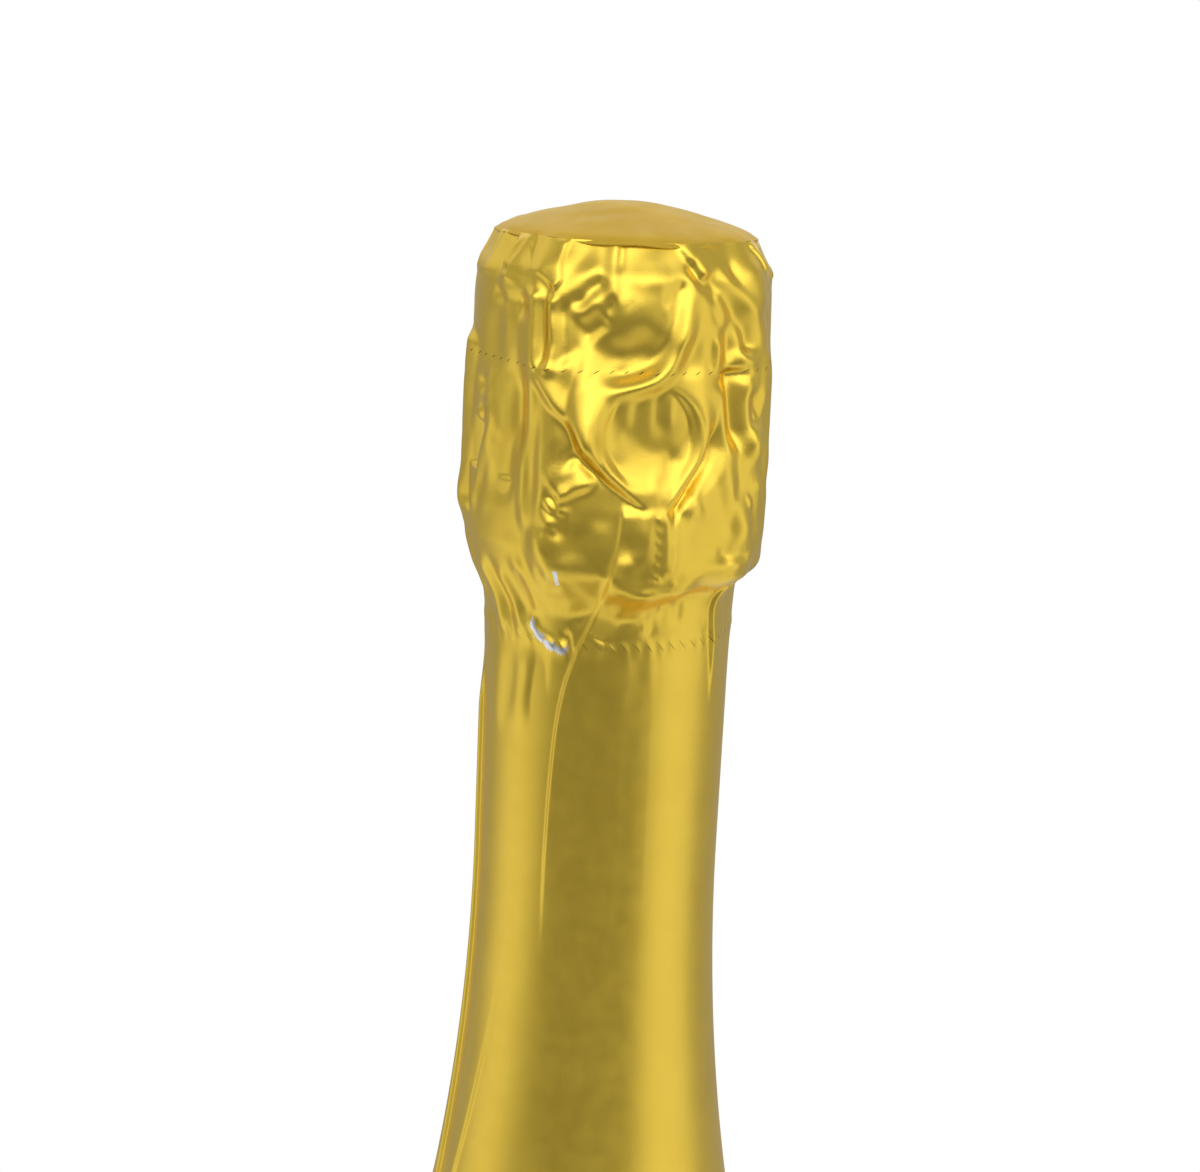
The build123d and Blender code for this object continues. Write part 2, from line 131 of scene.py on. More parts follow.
# Foil pressed over the loop's tail and knuckle
tail_blend = 1.5
tail_right_flat, tail_right_reach = 0.8, 2.6
tail_left_flat, tail_left_reach = 0.7, 5.5
tail_left_power = 1.3
knuckle_cover = 0.95
knuckle_shift = 0.3
knuckle_side_share = 0.45
knuckle_reach_above = 6.0
knuckle_reach_below = 4.6
knuckle_flat, knuckle_end = 0.7, 3.0
knuckle_power_below = 1.8

# Foil drawn over the legs, and its two taut sheets, each from where it starts to where it is full and ends
leg_flat_angle, leg_reach_angle = 1.5, 16.0
right_side_azimuth = 20.0
right_blend_start, right_blend_end = -3.0, 2.0
right_fade_start, right_fade_end = 75.0, 105.0
hood_end, neck_start = 46.0, 52.0
hood_end_radius = 14.75
sheet_start, sheet_full, sheet_end = 13.0, 19.0, 39.4
panel_start, panel_full, panel_end = 22.5, 27.0, 43.0
panel_edge = 14.8

# Folds, drawn on paper rolled to this radius
paper_radius = 17.4
crest_rounding = 0.2
lap_edge = 0.14
lap_limit = 0.3
soft_passes = 12
last_soft_passes = 4
least_share = 0.001
hood_folds_above, hood_folds_below = 1.5, 1.0

# Tear lines: a row of short curved slits above and of long slanted ones below
slit_pitch = 5.4
slit_middle_share, slit_half_share = 0.5, 0.2
slit_curve = 0.18
slit_half_opening = 0.05
dash_pitch = 5.625
dash_share = 0.8
dash_middle_share, dash_half_share = 0.4, 0.34
dash_fall = 1.4
dash_half_opening = 0.035
dash_lip_height = 0.16
dash_lip_width = 0.45
torn_least_share = 0.1

# Steps of the foil's meshes
front_step = 0.36
back_step = 1.1
front_half_angle = 104.0
hood_row_step = 0.12
neck_row_step = 0.4
table_over_rim = 1.5
table_overlap = 3.0
table_under_end = 1.0


def box_mm(node):
    """Lowest and highest corner of a CAD node in millimetres."""
    low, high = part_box(node)
    return low / metres_per_mm, high / metres_per_mm


disc_low, _ = box_mm("foil_disc")
crown_low, _ = box_mm("foil_crown")
band_low, band_high = box_mm("foil_tear_band")
sleeve_low, sleeve_high = box_mm("foil_neck_sleeve")
belt_low, belt_high = box_mm("wire_belt")
ring_low, ring_high = box_mm("wire_cap_ring")

rim_z = disc_low.z + foil_thickness
upper_tear = rim_z - (crown_low.z + band_high.z) / 2
lower_tear = rim_z - (band_low.z + sleeve_high.z) / 2
sleeve_end = rim_z - sleeve_low.z
belt_z = (belt_low.z + belt_high.z) / 2
belt_radius = -belt_low.x - belt_wire / 2
cap_ring_z = (ring_low.z + ring_high.z) / 2
cap_ring_radius = ring_high.x - cap_ring_wire / 2
tail_top_z = belt_z + tail_length
ring_bottom_z = belt_z + ring_over_belt
ring_top_z = ring_bottom_z + ring_height
leg_side_radius = cork_head_radius + wire_gap + leg_wire
leg_ring_radius = ring_radius + wire_gap + leg_wire
leg_side_z = cap_ring_z - leg_bend_fall
eye_radius = belt_wire / 2 + eye_gap + leg_wire / 2
loop_plane = leg_ring_radius


def at(radius, azimuth, z):
    """The point at this radius, azimuth and height."""
    angle = math.radians(azimuth)
    return Vector((radius * math.sin(angle), -radius * math.cos(angle), z))


def turn_between(azimuth, other):
    """The signed angle from other to azimuth."""
    return (azimuth - other + 180) % 360 - 180


def faded(distance, flat, reach):
    """1 up to flat, falling in an even S to 0 at reach."""
    share = np.clip((distance - flat) / (reach - flat), 0, 1)
    return 1 - share * share * (3 - 2 * share)


def through(x, points):
    """A smooth curve through (x, y) points that never overshoots them."""
    xs = np.array([p[0] for p in points], float)
    ys = np.array([p[1] for p in points], float)
    steps = np.diff(xs)
    slopes = np.diff(ys) / steps
    ahead, behind = slopes[1:], slopes[:-1]
    same_way = ahead * behind > 0
    safe = np.where(same_way, ahead + behind, 1)
    tangents = np.concatenate([[slopes[0]], np.where(same_way, 2 * ahead * behind / safe, 0), [slopes[-1]]])
    x = np.clip(x, xs[0], xs[-1])
    i = np.clip(np.searchsorted(xs, x) - 1, 0, len(steps) - 1)
    t = (x - xs[i]) / steps[i]
    start = ys[i] * (1 + 2 * t) * (1 - t) ** 2 + steps[i] * tangents[i] * t * (1 - t) ** 2
    end = ys[i + 1] * t * t * (3 - 2 * t) + steps[i] * tangents[i + 1] * t * t * (t - 1)
    return start + end


# Camera

def photo_camera():
    """The camera where the photograph was taken, looking down on the foiled top, rolled as the picture is."""
    pitch, yaw, roll = (math.radians(a) for a in (camera_pitch, camera_yaw, camera_roll))
    forward = Vector((-math.sin(yaw) * math.cos(pitch), math.cos(yaw) * math.cos(pitch), -math.sin(pitch)))
    level_right = Vector((math.cos(yaw), math.sin(yaw), 0))
    level_up = level_right.cross(forward)
    right = level_right * math.cos(roll) + level_up * math.sin(roll)
    up = level_up * math.cos(roll) - level_right * math.sin(roll)
    data = bpy.data.cameras.new("photo_camera")
    data.sensor_width = sensor_width
    data.sensor_fit = "HORIZONTAL"
    data.lens = sensor_width * photo_lens / photo_width
    data.clip_start = camera_clip_start
    camera = bpy.data.objects.new("photo_camera", data)
    turn = Matrix((right, up, -forward)).transposed().to_4x4()
    place = Vector((0, -camera_distance, rim_z + camera_above_rim)) * metres_per_mm
    camera.matrix_world = Matrix.Translation(place) @ turn
    bpy.context.collection.objects.link(camera)
    bpy.context.scene.camera = camera


# Foil's underlying form

def glass_radius(z):
    """The outer radius of the glass neck, flare and throat at these heights."""
    lean = math.radians(flare_angle)
    flare_centre = neck_radius + flare_radius
    throat_r = flare_centre - (flare_radius - throat_radius) * math.cos(lean)
    throat_z = flare_top_z - (flare_radius - throat_radius) * math.sin(lean)
    flare_end_z = flare_top_z - flare_radius * math.sin(lean)
    flare = flare_centre - np.sqrt(flare_radius**2 - np.clip(flare_top_z - z, 0, None) ** 2)
    throat = throat_r - np.sqrt(np.clip(throat_radius**2 - (throat_z - z) ** 2, 0, None))
    return np.where(z >= flare_end_z, flare, throat)


# Outer radius of the foil between the legs, as (drop, radius), at the back and left, and at the right
crown_profile = [(-0.3, 14.5), (0.4, 14.9), (1.2, 15.3), (2.2, 15.8), (4.0, 16.75), (6.5, 17.2)]
hood_profile = crown_profile + [
    (12.0, 17.3), (27.4, 17.35), (31.0, 17.7), (34.5, 17.7), (36.2, 17.3), (38.9, 16.6), (40.5, 15.9),
    (42.4, 15.25), (45.9, 14.9), (52.0, 14.78),
]
right_profile = crown_profile + [
    (12.0, 17.35), (27.4, 17.45), (31.0, 17.75), (36.0, 17.9), (37.8, 17.85), (38.6, 17.2), (39.3, 15.8),
    (40.2, 15.15), (45.9, 14.85), (52.0, 14.78),
]
# Outer radius of the foil where it is drawn over a leg and its eye
leg_profile = [
    (-0.3, 15.2), (0.6, 15.75), (3.2, 17.45), (8.0, 18.05), (27.4, 19.25), (35.6, 19.3), (37.3, 18.8),
    (38.6, 17.9), (40.2, 16.7), (43.0, 15.3), (52.0, 14.78),
]
# The same over the right front leg, where the sheet ends in a hem that steps out
right_leg_profile = leg_profile[:7] + [
    (37.301, 19.0), (38.6, 17.8), (39.8, 16.0), (42.5, 15.1), (52.0, 14.78),
]
# Left edge of the taut sheet between the loop and the right front leg, as (drop, azimuth) and (drop, radius)
sheet_edge = [
    (13.0, 34.0), (20.0, 38.5), (24.0, 36.0), (26.0, 31.0), (28.5, 24.0), (31.0, 21.5), (38.6, 20.5),
]
sheet_edge_radius = [
    (13.0, 17.4), (20.0, 17.8), (24.0, 18.3), (28.0, 19.0), (35.0, 19.25), (37.2, 19.1), (38.2, 17.8),
    (39.2, 15.7),
]
# Outer radius of the foil over the loop's tail, which is also the right edge of the taut panel to its left
tail_profile = [
    (24.0, 18.5), (28.0, 18.95), (30.0, 19.17), (36.6, 19.17), (38.0, 18.3), (39.4, 17.1), (41.0, 15.9),
    (43.5, 15.1), (52.0, 14.7),
]


def leg_azimuth(leg, drop):
    """A leg's azimuth at this drop: the tightened belt draws the front legs' feet towards the twist loop."""
    head, foot = leg
    return head + (foot - head) * np.clip((drop - lean_start) / (lean_end - lean_start), 0, 1)


# Wires' middle lines

def filleted(points, radii, arc_points=9):
    """A flat path through these corners, each inner one rounded by its own radius."""
    corners = [np.array(p, float) for p in points]
    line = [corners[0]]
    for before, corner, after, radius in zip(corners, corners[1:], corners[2:], radii):
        back = (before - corner) / np.linalg.norm(before - corner)
        ahead = (after - corner) / np.linalg.norm(after - corner)
        half = math.acos(back @ ahead) / 2
        centre = corner + (back + ahead) / np.linalg.norm(back + ahead) * radius / math.sin(half)
        start = corner + back * radius / math.tan(half) - centre
        end = corner + ahead * radius / math.tan(half) - centre
        turn = math.pi - 2 * half
        for share in np.linspace(0, 1, arc_points):
            arm = math.sin((1 - share) * turn) * start + math.sin(share * turn) * end
            line.append(centre + arm / math.sin(turn))
    return np.array(line + [corners[-1]])


def resampled(line, step):
    """The same line with points about a step apart, and how far along it each one lies."""
    lengths = np.concatenate([[0], np.cumsum(np.linalg.norm(np.diff(line, axis=0), axis=1))])
    places = np.linspace(0, lengths[-1], 1 + round(lengths[-1] / step))
    return np.stack([np.interp(places, lengths, values) for values in line.T], -1), places


def twisted_strands(path, azimuth, flat_length, half_turns):
    """Middle lines of two wires side by side along a path of (radius, z), twisted past flat_length."""
    path, places = resampled(path, strand_step)
    heading = np.gradient(path, axis=0)
    heading /= np.linalg.norm(heading, axis=1)[:, None]
    angle = np.radians(azimuth(path[:, 1]))
    zero = np.zeros(len(path))
    out = np.stack([np.sin(angle), -np.cos(angle), zero], -1)
    across = np.stack([np.cos(angle), np.sin(angle), zero], -1)
    up = np.array([0, 0, 1])
    along = out * heading[:, :1] + up * heading[:, 1:]
    away = np.cross(across, along)
    turn = np.pi * half_turns * np.clip(places - flat_length, 0, None) / (places[-1] - flat_length)
    offset = leg_wire / 2 * (across * np.cos(turn)[:, None] + away * np.sin(turn)[:, None])
    centre = out * path[:, :1] + up * path[:, 1:]
    return [centre + offset, centre - offset]


def circle(centre, one, other, radius, count=28):
    """Points round a circle about centre, in the plane of two square directions."""
    turns = np.arange(count) * 2 * np.pi / count
    points = [centre + one * radius * math.cos(turn) + other * radius * math.sin(turn) for turn in turns]
    return np.array([np.array(point) for point in points])


def leg_strands(leg):
    """The two wires of a leg, from the cap ring to the belt."""
    start = cap_ring_radius + cap_ring_wire / 2 + wire_gap
    corners = [
        (start, cap_ring_z), (start + leg_bend_start, cap_ring_z), (leg_side_radius, leg_side_z),
        (leg_ring_radius, ring_top_z), (leg_ring_radius, ring_bottom_z), (belt_radius + eye_radius, belt_z),
    ]
    path = filleted(corners, (leg_bend_radius, leg_bend_radius, leg_knee_radius, leg_foot_radius))
    return twisted_strands(path, lambda z: leg_azimuth(leg, rim_z - z), leg_flat_length, leg_half_turns)


def leg_eye(leg):
    """The ring that a leg's foot makes round the belt."""
    foot = leg_azimuth(leg, rim_z - belt_z)
    return circle(at(belt_radius, foot, belt_z), at(1, foot, 0), Vector((0, 0, 1)), eye_radius)


def tail_strands():
    """The two wires of the loop's twisted tail."""
    path = np.array([(loop_plane, belt_z), (loop_plane, tail_top_z)])
    return twisted_strands(path, lambda z: loop_azimuth + 0 * z, 0, tail_half_turns)


def knuckle_ends():
    """Both ends of the knuckle, the short straight wire at the tail's foot that lies along the belt."""
    side = np.array(at(knuckle_half_length, loop_azimuth + 90, 0))
    foot = np.array(at(loop_plane, loop_azimuth, belt_z))
    return foot - side, foot + side


def loop_eye():
    """The loop that is turned to open the hood, swayed on its tail and leaned back on the glass."""
    out, across = at(1, loop_azimuth, 0), at(1, loop_azimuth + 90, 0)
    lean, sway = math.radians(loop_lean), math.radians(loop_sway)
    outward = out * math.cos(lean) + Vector((0, 0, math.sin(lean)))
    upward = outward.cross(across)
    one = across * math.cos(sway) + upward * math.sin(sway)
    other = upward * math.cos(sway) - across * math.sin(sway)
    foot = out * loop_plane + Vector((0, 0, tail_top_z))
    centre, shoulder = loop_radius * math.sqrt(2), math.radians(-45)
    flat = [(loop_wire / 2, 0)]
    for turn in np.linspace(shoulder, math.pi - shoulder, loop_points):
        flat.append((loop_radius * math.cos(turn), centre + loop_radius * math.sin(turn)))
    flat.append((-loop_wire / 2, 0))
    line = np.array([np.array(foot + one * x + other * y) for x, y in flat])
    return resampled(line, strand_step)[0]


def belt_line():
    """The belt's middle line, from one end that turns out to the loop round the back to the other."""
    gap = math.degrees(math.asin(belt_mouth_half_width / belt_radius))
    start = loop_azimuth + gap + belt_bend_angle
    end = start + belt_step_angle * belt_steps
    line = [np.array(at(belt_radius, azimuth, 0).xy) for azimuth in np.linspace(start, end, belt_steps + 1)]
    out = np.array(at(1, loop_azimuth, 0).xy)
    for side in (1, -1):
        corner = np.array(at(belt_radius, loop_azimuth + side * gap, 0).xy)
        end = corner + out * (loop_plane - belt_wire / 2 - knuckle_gap - corner @ out)
        beside = line[0] if side > 0 else line[-1]
        bend = filleted([beside, corner, end], [belt_bend_radius])[1:]
        line = list(bend[::-1]) + line if side > 0 else line + list(bend)
    return np.array([(x, y, belt_z) for x, y in line])


def loop_form(azimuth, drop, core):
    """The foil pressed over the twist loop, its tail and its knuckle."""
    away = turn_between(azimuth, loop_azimuth)
    near = np.abs(away) < loop_half_angle
    angle = np.radians(np.where(near, away, 0))
    over = np.maximum(loop_cover(angle, drop, core), tail_cover(angle, drop, core))
    return np.where(near, np.maximum(over, knuckle_form(angle, drop, core)), core)


def beside_loop(angle, drop):
    """Height over the tail's top, the radius of the loop's plane there, and the way along that plane."""
    height = rim_z - drop - tail_top_z
    plane = loop_plane - np.clip(height, 0, None) * math.tan(math.radians(loop_lean))
    return height, plane, plane * np.tan(angle)


def loop_cover(angle, drop, core):
    """The loop's dished round face, with an edge that is sharp at its foot and soft elsewhere."""
    height, plane, sideways = beside_loop(angle, drop)
    sway = math.radians(loop_sway)
    aside = sideways * math.cos(sway) + height * math.sin(sway)
    rise = height * math.cos(sway) - sideways * math.sin(sway)
    centre = loop_radius * math.sqrt(2)
    out = np.hypot(aside, rise - centre)
    outline = out - loop_radius
    in_point = (rise >= 0) & (rise <= loop_radius / math.sqrt(2))
    outline = np.where(in_point, np.minimum(outline, (np.abs(aside) - rise) / math.sqrt(2)), outline)
    crest = (plane + loop_wire / 2 + foil_lift + foil_thickness) / np.cos(angle)
    tilt = np.clip((rise - centre) / loop_radius, -1, 1)
    dish = dish_depth * (1 - tilt**2) * np.clip(1 - (out / loop_radius) ** dish_edge_power, 0, 1)
    right = np.clip(aside / loop_radius, 0, 1)
    left = np.clip(-aside / loop_radius, 0, 1)
    beside = loop_side_reach + loop_right_reach * right + loop_left_reach * left
    reach = np.where(
        tilt > 0, beside + loop_top_reach * tilt, beside * (1 + tilt) ** 2 - loop_foot_reach * tilt
    )
    cover = core + (crest - dish - core) * faded(outline, loop_flat, loop_flat + reach)
    return np.maximum(core, cover)


def tail_cover(angle, drop, core):
    """The ridge over the loop's tail, crisp at its right and long at its left."""
    height, _, sideways = beside_loop(angle, drop)
    right = faded(sideways, tail_right_flat, tail_right_reach)
    left = faded(-sideways, tail_left_flat, tail_left_reach) ** tail_left_power
    ridge = np.where(sideways > 0, right, left) * faded(height, 0, tail_blend)
    return core + np.clip(through(drop, tail_profile) / np.cos(angle) - core, 0, None) * ridge


def knuckle_form(angle, drop, core):
    """The knob over the knuckle."""
    sideways = beside_loop(angle, drop)[2]
    level = rim_z - drop - belt_z
    reach = np.where(level > 0, knuckle_reach_above, knuckle_reach_below)
    past_end = np.clip(np.abs(sideways + knuckle_shift) - knuckle_half_length, 0, None)
    away = np.hypot(past_end * knuckle_side_share, level * knuckle_end / reach)
    power = np.where(level > 0, 1, knuckle_power_below)
    return core + (loop_plane + knuckle_cover - core) * faded(away, knuckle_flat, knuckle_end) ** power


def covered_wires():
    """The wires that the foil lies on, each as its middle line and its thickness."""
    wires = [(line, leg_wire) for leg in legs for line in leg_strands(leg)]
    wires += [(leg_eye(leg), leg_wire) for leg in legs]
    wires += [(line, leg_wire) for line in tail_strands()]
    wires.append((np.linspace(*knuckle_ends(), knuckle_points), belt_wire))
    wires.append((loop_eye(), loop_wire))
    return wires


def over_wires(radius, azimuth, drop):
    """The foil's radius, raised where a wire would come through it."""
    for line, wire in covered_wires():
        reach = wire / 2 + foil_lift + foil_thickness
        for x, y, z in line:
            wire_radius = math.hypot(x, y)
            turn = turn_between(azimuth[0], math.degrees(math.atan2(x, -y)))
            aside = np.radians(turn) * wire_radius
            near = np.flatnonzero(np.abs(aside) < 2 * reach)
            apart = aside[near] ** 2 + (drop[:, near] - (rim_z - z)) ** 2
            crest = np.maximum(radius[:, near], wire_radius + reach - apart / reach)
            radius[:, near] = np.where(apart < 2 * reach**2, crest, radius[:, near])
    return radius


def chord(azimuth, first, first_radius, last, last_radius):
    """Radius of the flat sheet between two upright lines, and 0 outside them."""
    a = np.radians(turn_between(azimuth, first))
    b = np.radians(turn_between(last, azimuth))
    spread = a + b
    inside = (a > 0) & (b > 0)
    reach = np.where(inside, first_radius * np.sin(a) + last_radius * np.sin(b), 1)
    return np.where(inside, first_radius * last_radius * np.sin(spread) / reach, 0)


def hood_form(azimuth, drop):
    """Outer radius of the foil drawn over the cork, legs, belt, loop and neck, before its folds."""
    from_tail = turn_between(azimuth, right_side_azimuth)
    right = 1 - faded(from_tail, right_blend_start, right_blend_end)
    right = right * faded(from_tail, right_fade_start, right_fade_end)
    hood = through(drop, hood_profile) * (1 - right) + through(drop, right_profile) * right
    neck = glass_radius(rim_z - drop) + foil_lift + foil_thickness
    low_hood = neck + (hood - hood_end_radius) * faded(drop, hood_end, neck_start)
    core = np.where(drop < hood_end, hood, low_hood)
    crests = [through(drop, right_leg_profile if leg is legs[0] else leg_profile) for leg in legs]
    form = core
    for leg, crest in zip(legs, crests):
        away = np.abs(turn_between(azimuth, leg_azimuth(leg, drop)))
        over = core + np.clip(crest - core, 0, None) * faded(away, leg_flat_angle, leg_reach_angle)
        form = np.maximum(form, np.where(drop < neck_start, over, core))
    sheet = chord(azimuth, through(drop, sheet_edge), through(drop, sheet_edge_radius),
                  leg_azimuth(legs[0], drop), crests[0])
    form = stretched(form, sheet, drop, sheet_start, sheet_full, sheet_end)
    panel = chord(azimuth, leg_azimuth(legs[3], drop), crests[3], panel_edge, through(drop, tail_profile))
    form = stretched(form, panel, drop, panel_start, panel_full, panel_end)
    return np.maximum(form, loop_form(azimuth, drop, core))


def stretched(form, sheet, drop, start, full, end):
    """The form with a taut sheet over it, which begins softly between two drops and ends at a third."""
    share = (1 - faded(drop, start, full)) * (drop < end)
    return np.maximum(form, form + (sheet - form) * share * (sheet > 0))


# Folds in the foil

def fold_height(azimuth, drop, route, height, east, west, soft=False, ends=(0.15, 0.15)):
    """Height of one fold over the paper: full on its route, falling to nothing at east and west of it.

    East is the side of growing azimuth for a route that runs down, and the upper side for one that runs to
    the right. The ends taper over these shares of its length.
    """
    per_degree = math.radians(1) * paper_radius
    middle = route[len(route) // 2][0]
    u = turn_between(azimuth, middle) * per_degree
    points = np.array([(turn_between(a, middle) * per_degree, d) for a, d in route])
    widest = max(east, west)
    low, high = points.min(0) - widest, points.max(0) + widest
    inside = (u > low[0]) & (u < high[0]) & (drop > low[1]) & (drop < high[1])
    result = np.zeros(np.shape(u))
    if not inside.any():
        return result
    points = rounded(points)
    here = np.stack([u[inside], drop[inside]], -1)
    steps = np.diff(points, axis=0)
    lengths = np.hypot(steps[:, 0], steps[:, 1])
    starts = np.concatenate([[0], np.cumsum(lengths)])
    nearest = np.full(len(here), np.inf)
    side = np.zeros(len(here))
    along = np.zeros(len(here))
    for i, (step, length) in enumerate(zip(steps, lengths)):
        off = here - points[i]
        share = np.clip(off @ step / length**2, 0, 1)
        gap = off - share[:, None] * step
        distance = np.hypot(gap[:, 0], gap[:, 1])
        closer = distance < nearest
        nearest = np.where(closer, distance, nearest)
        side = np.where(closer, step[0] * off[:, 1] - step[1] * off[:, 0], side)
        along = np.where(closer, (starts[i] + share * length) / starts[-1], along)
    reach = np.where(side < 0, east, west)
    flank = np.clip(1 - (np.hypot(nearest, crest_rounding) - crest_rounding) / reach, 0, 1)
    if soft:
        flank = flank * flank * (3 - 2 * flank)
    first, last = (max(end, least_share) for end in ends)
    taper = np.clip(along / first, 0, 1) * np.clip((1 - along) / last, 0, 1)
    taper = taper * taper * (3 - 2 * taper)
    result[inside] = height * flank * taper
    return result


def rounded(points, count=6):
    """A route with its corners rounded: a Catmull-Rom curve through its points."""
    ends = np.vstack([2 * points[0] - points[1], points, 2 * points[-1] - points[-2]])
    line = []
    for a, b, c, d in zip(ends, ends[1:], ends[2:], ends[3:]):
        for t in np.arange(count) / count:
            line.append((2 * b + (c - a) * t + (2 * a - 5 * b + 4 * c - d) * t**2
                         + (3 * b - a - 3 * c + d) * t**3) / 2)
    return np.array(line + [points[-1]])


def lap(route, height=0.3, fade=4.0, side="east", ends=(0.02, 0.2)):
    """An edge of foil lying over more foil, which falls away on one side."""
    east, west = (fade, lap_edge) if side == "east" else (lap_edge, fade)
    return dict(route=route, height=height, east=east, west=west, ends=ends)


def bank(route, height=0.5, east=2.0, west=2.0, ends=(0.2, 0.2)):
    """A sharp ridge, or a valley where the height is negative, with a different slope on each side."""
    return dict(route=route, height=height, east=east, west=west, ends=ends)


def crease(route, height=0.3, width=0.9, ends=(0.25, 0.25)):
    """A sharp ridge, or a valley where the height is negative."""
    return bank(route, height, width, width, ends)


def swell(route, height=0.4, width=3.0):
    """A soft rise or hollow along a route."""
    return dict(route=route, height=height, east=width, west=width, soft=True, ends=(0.35, 0.35))


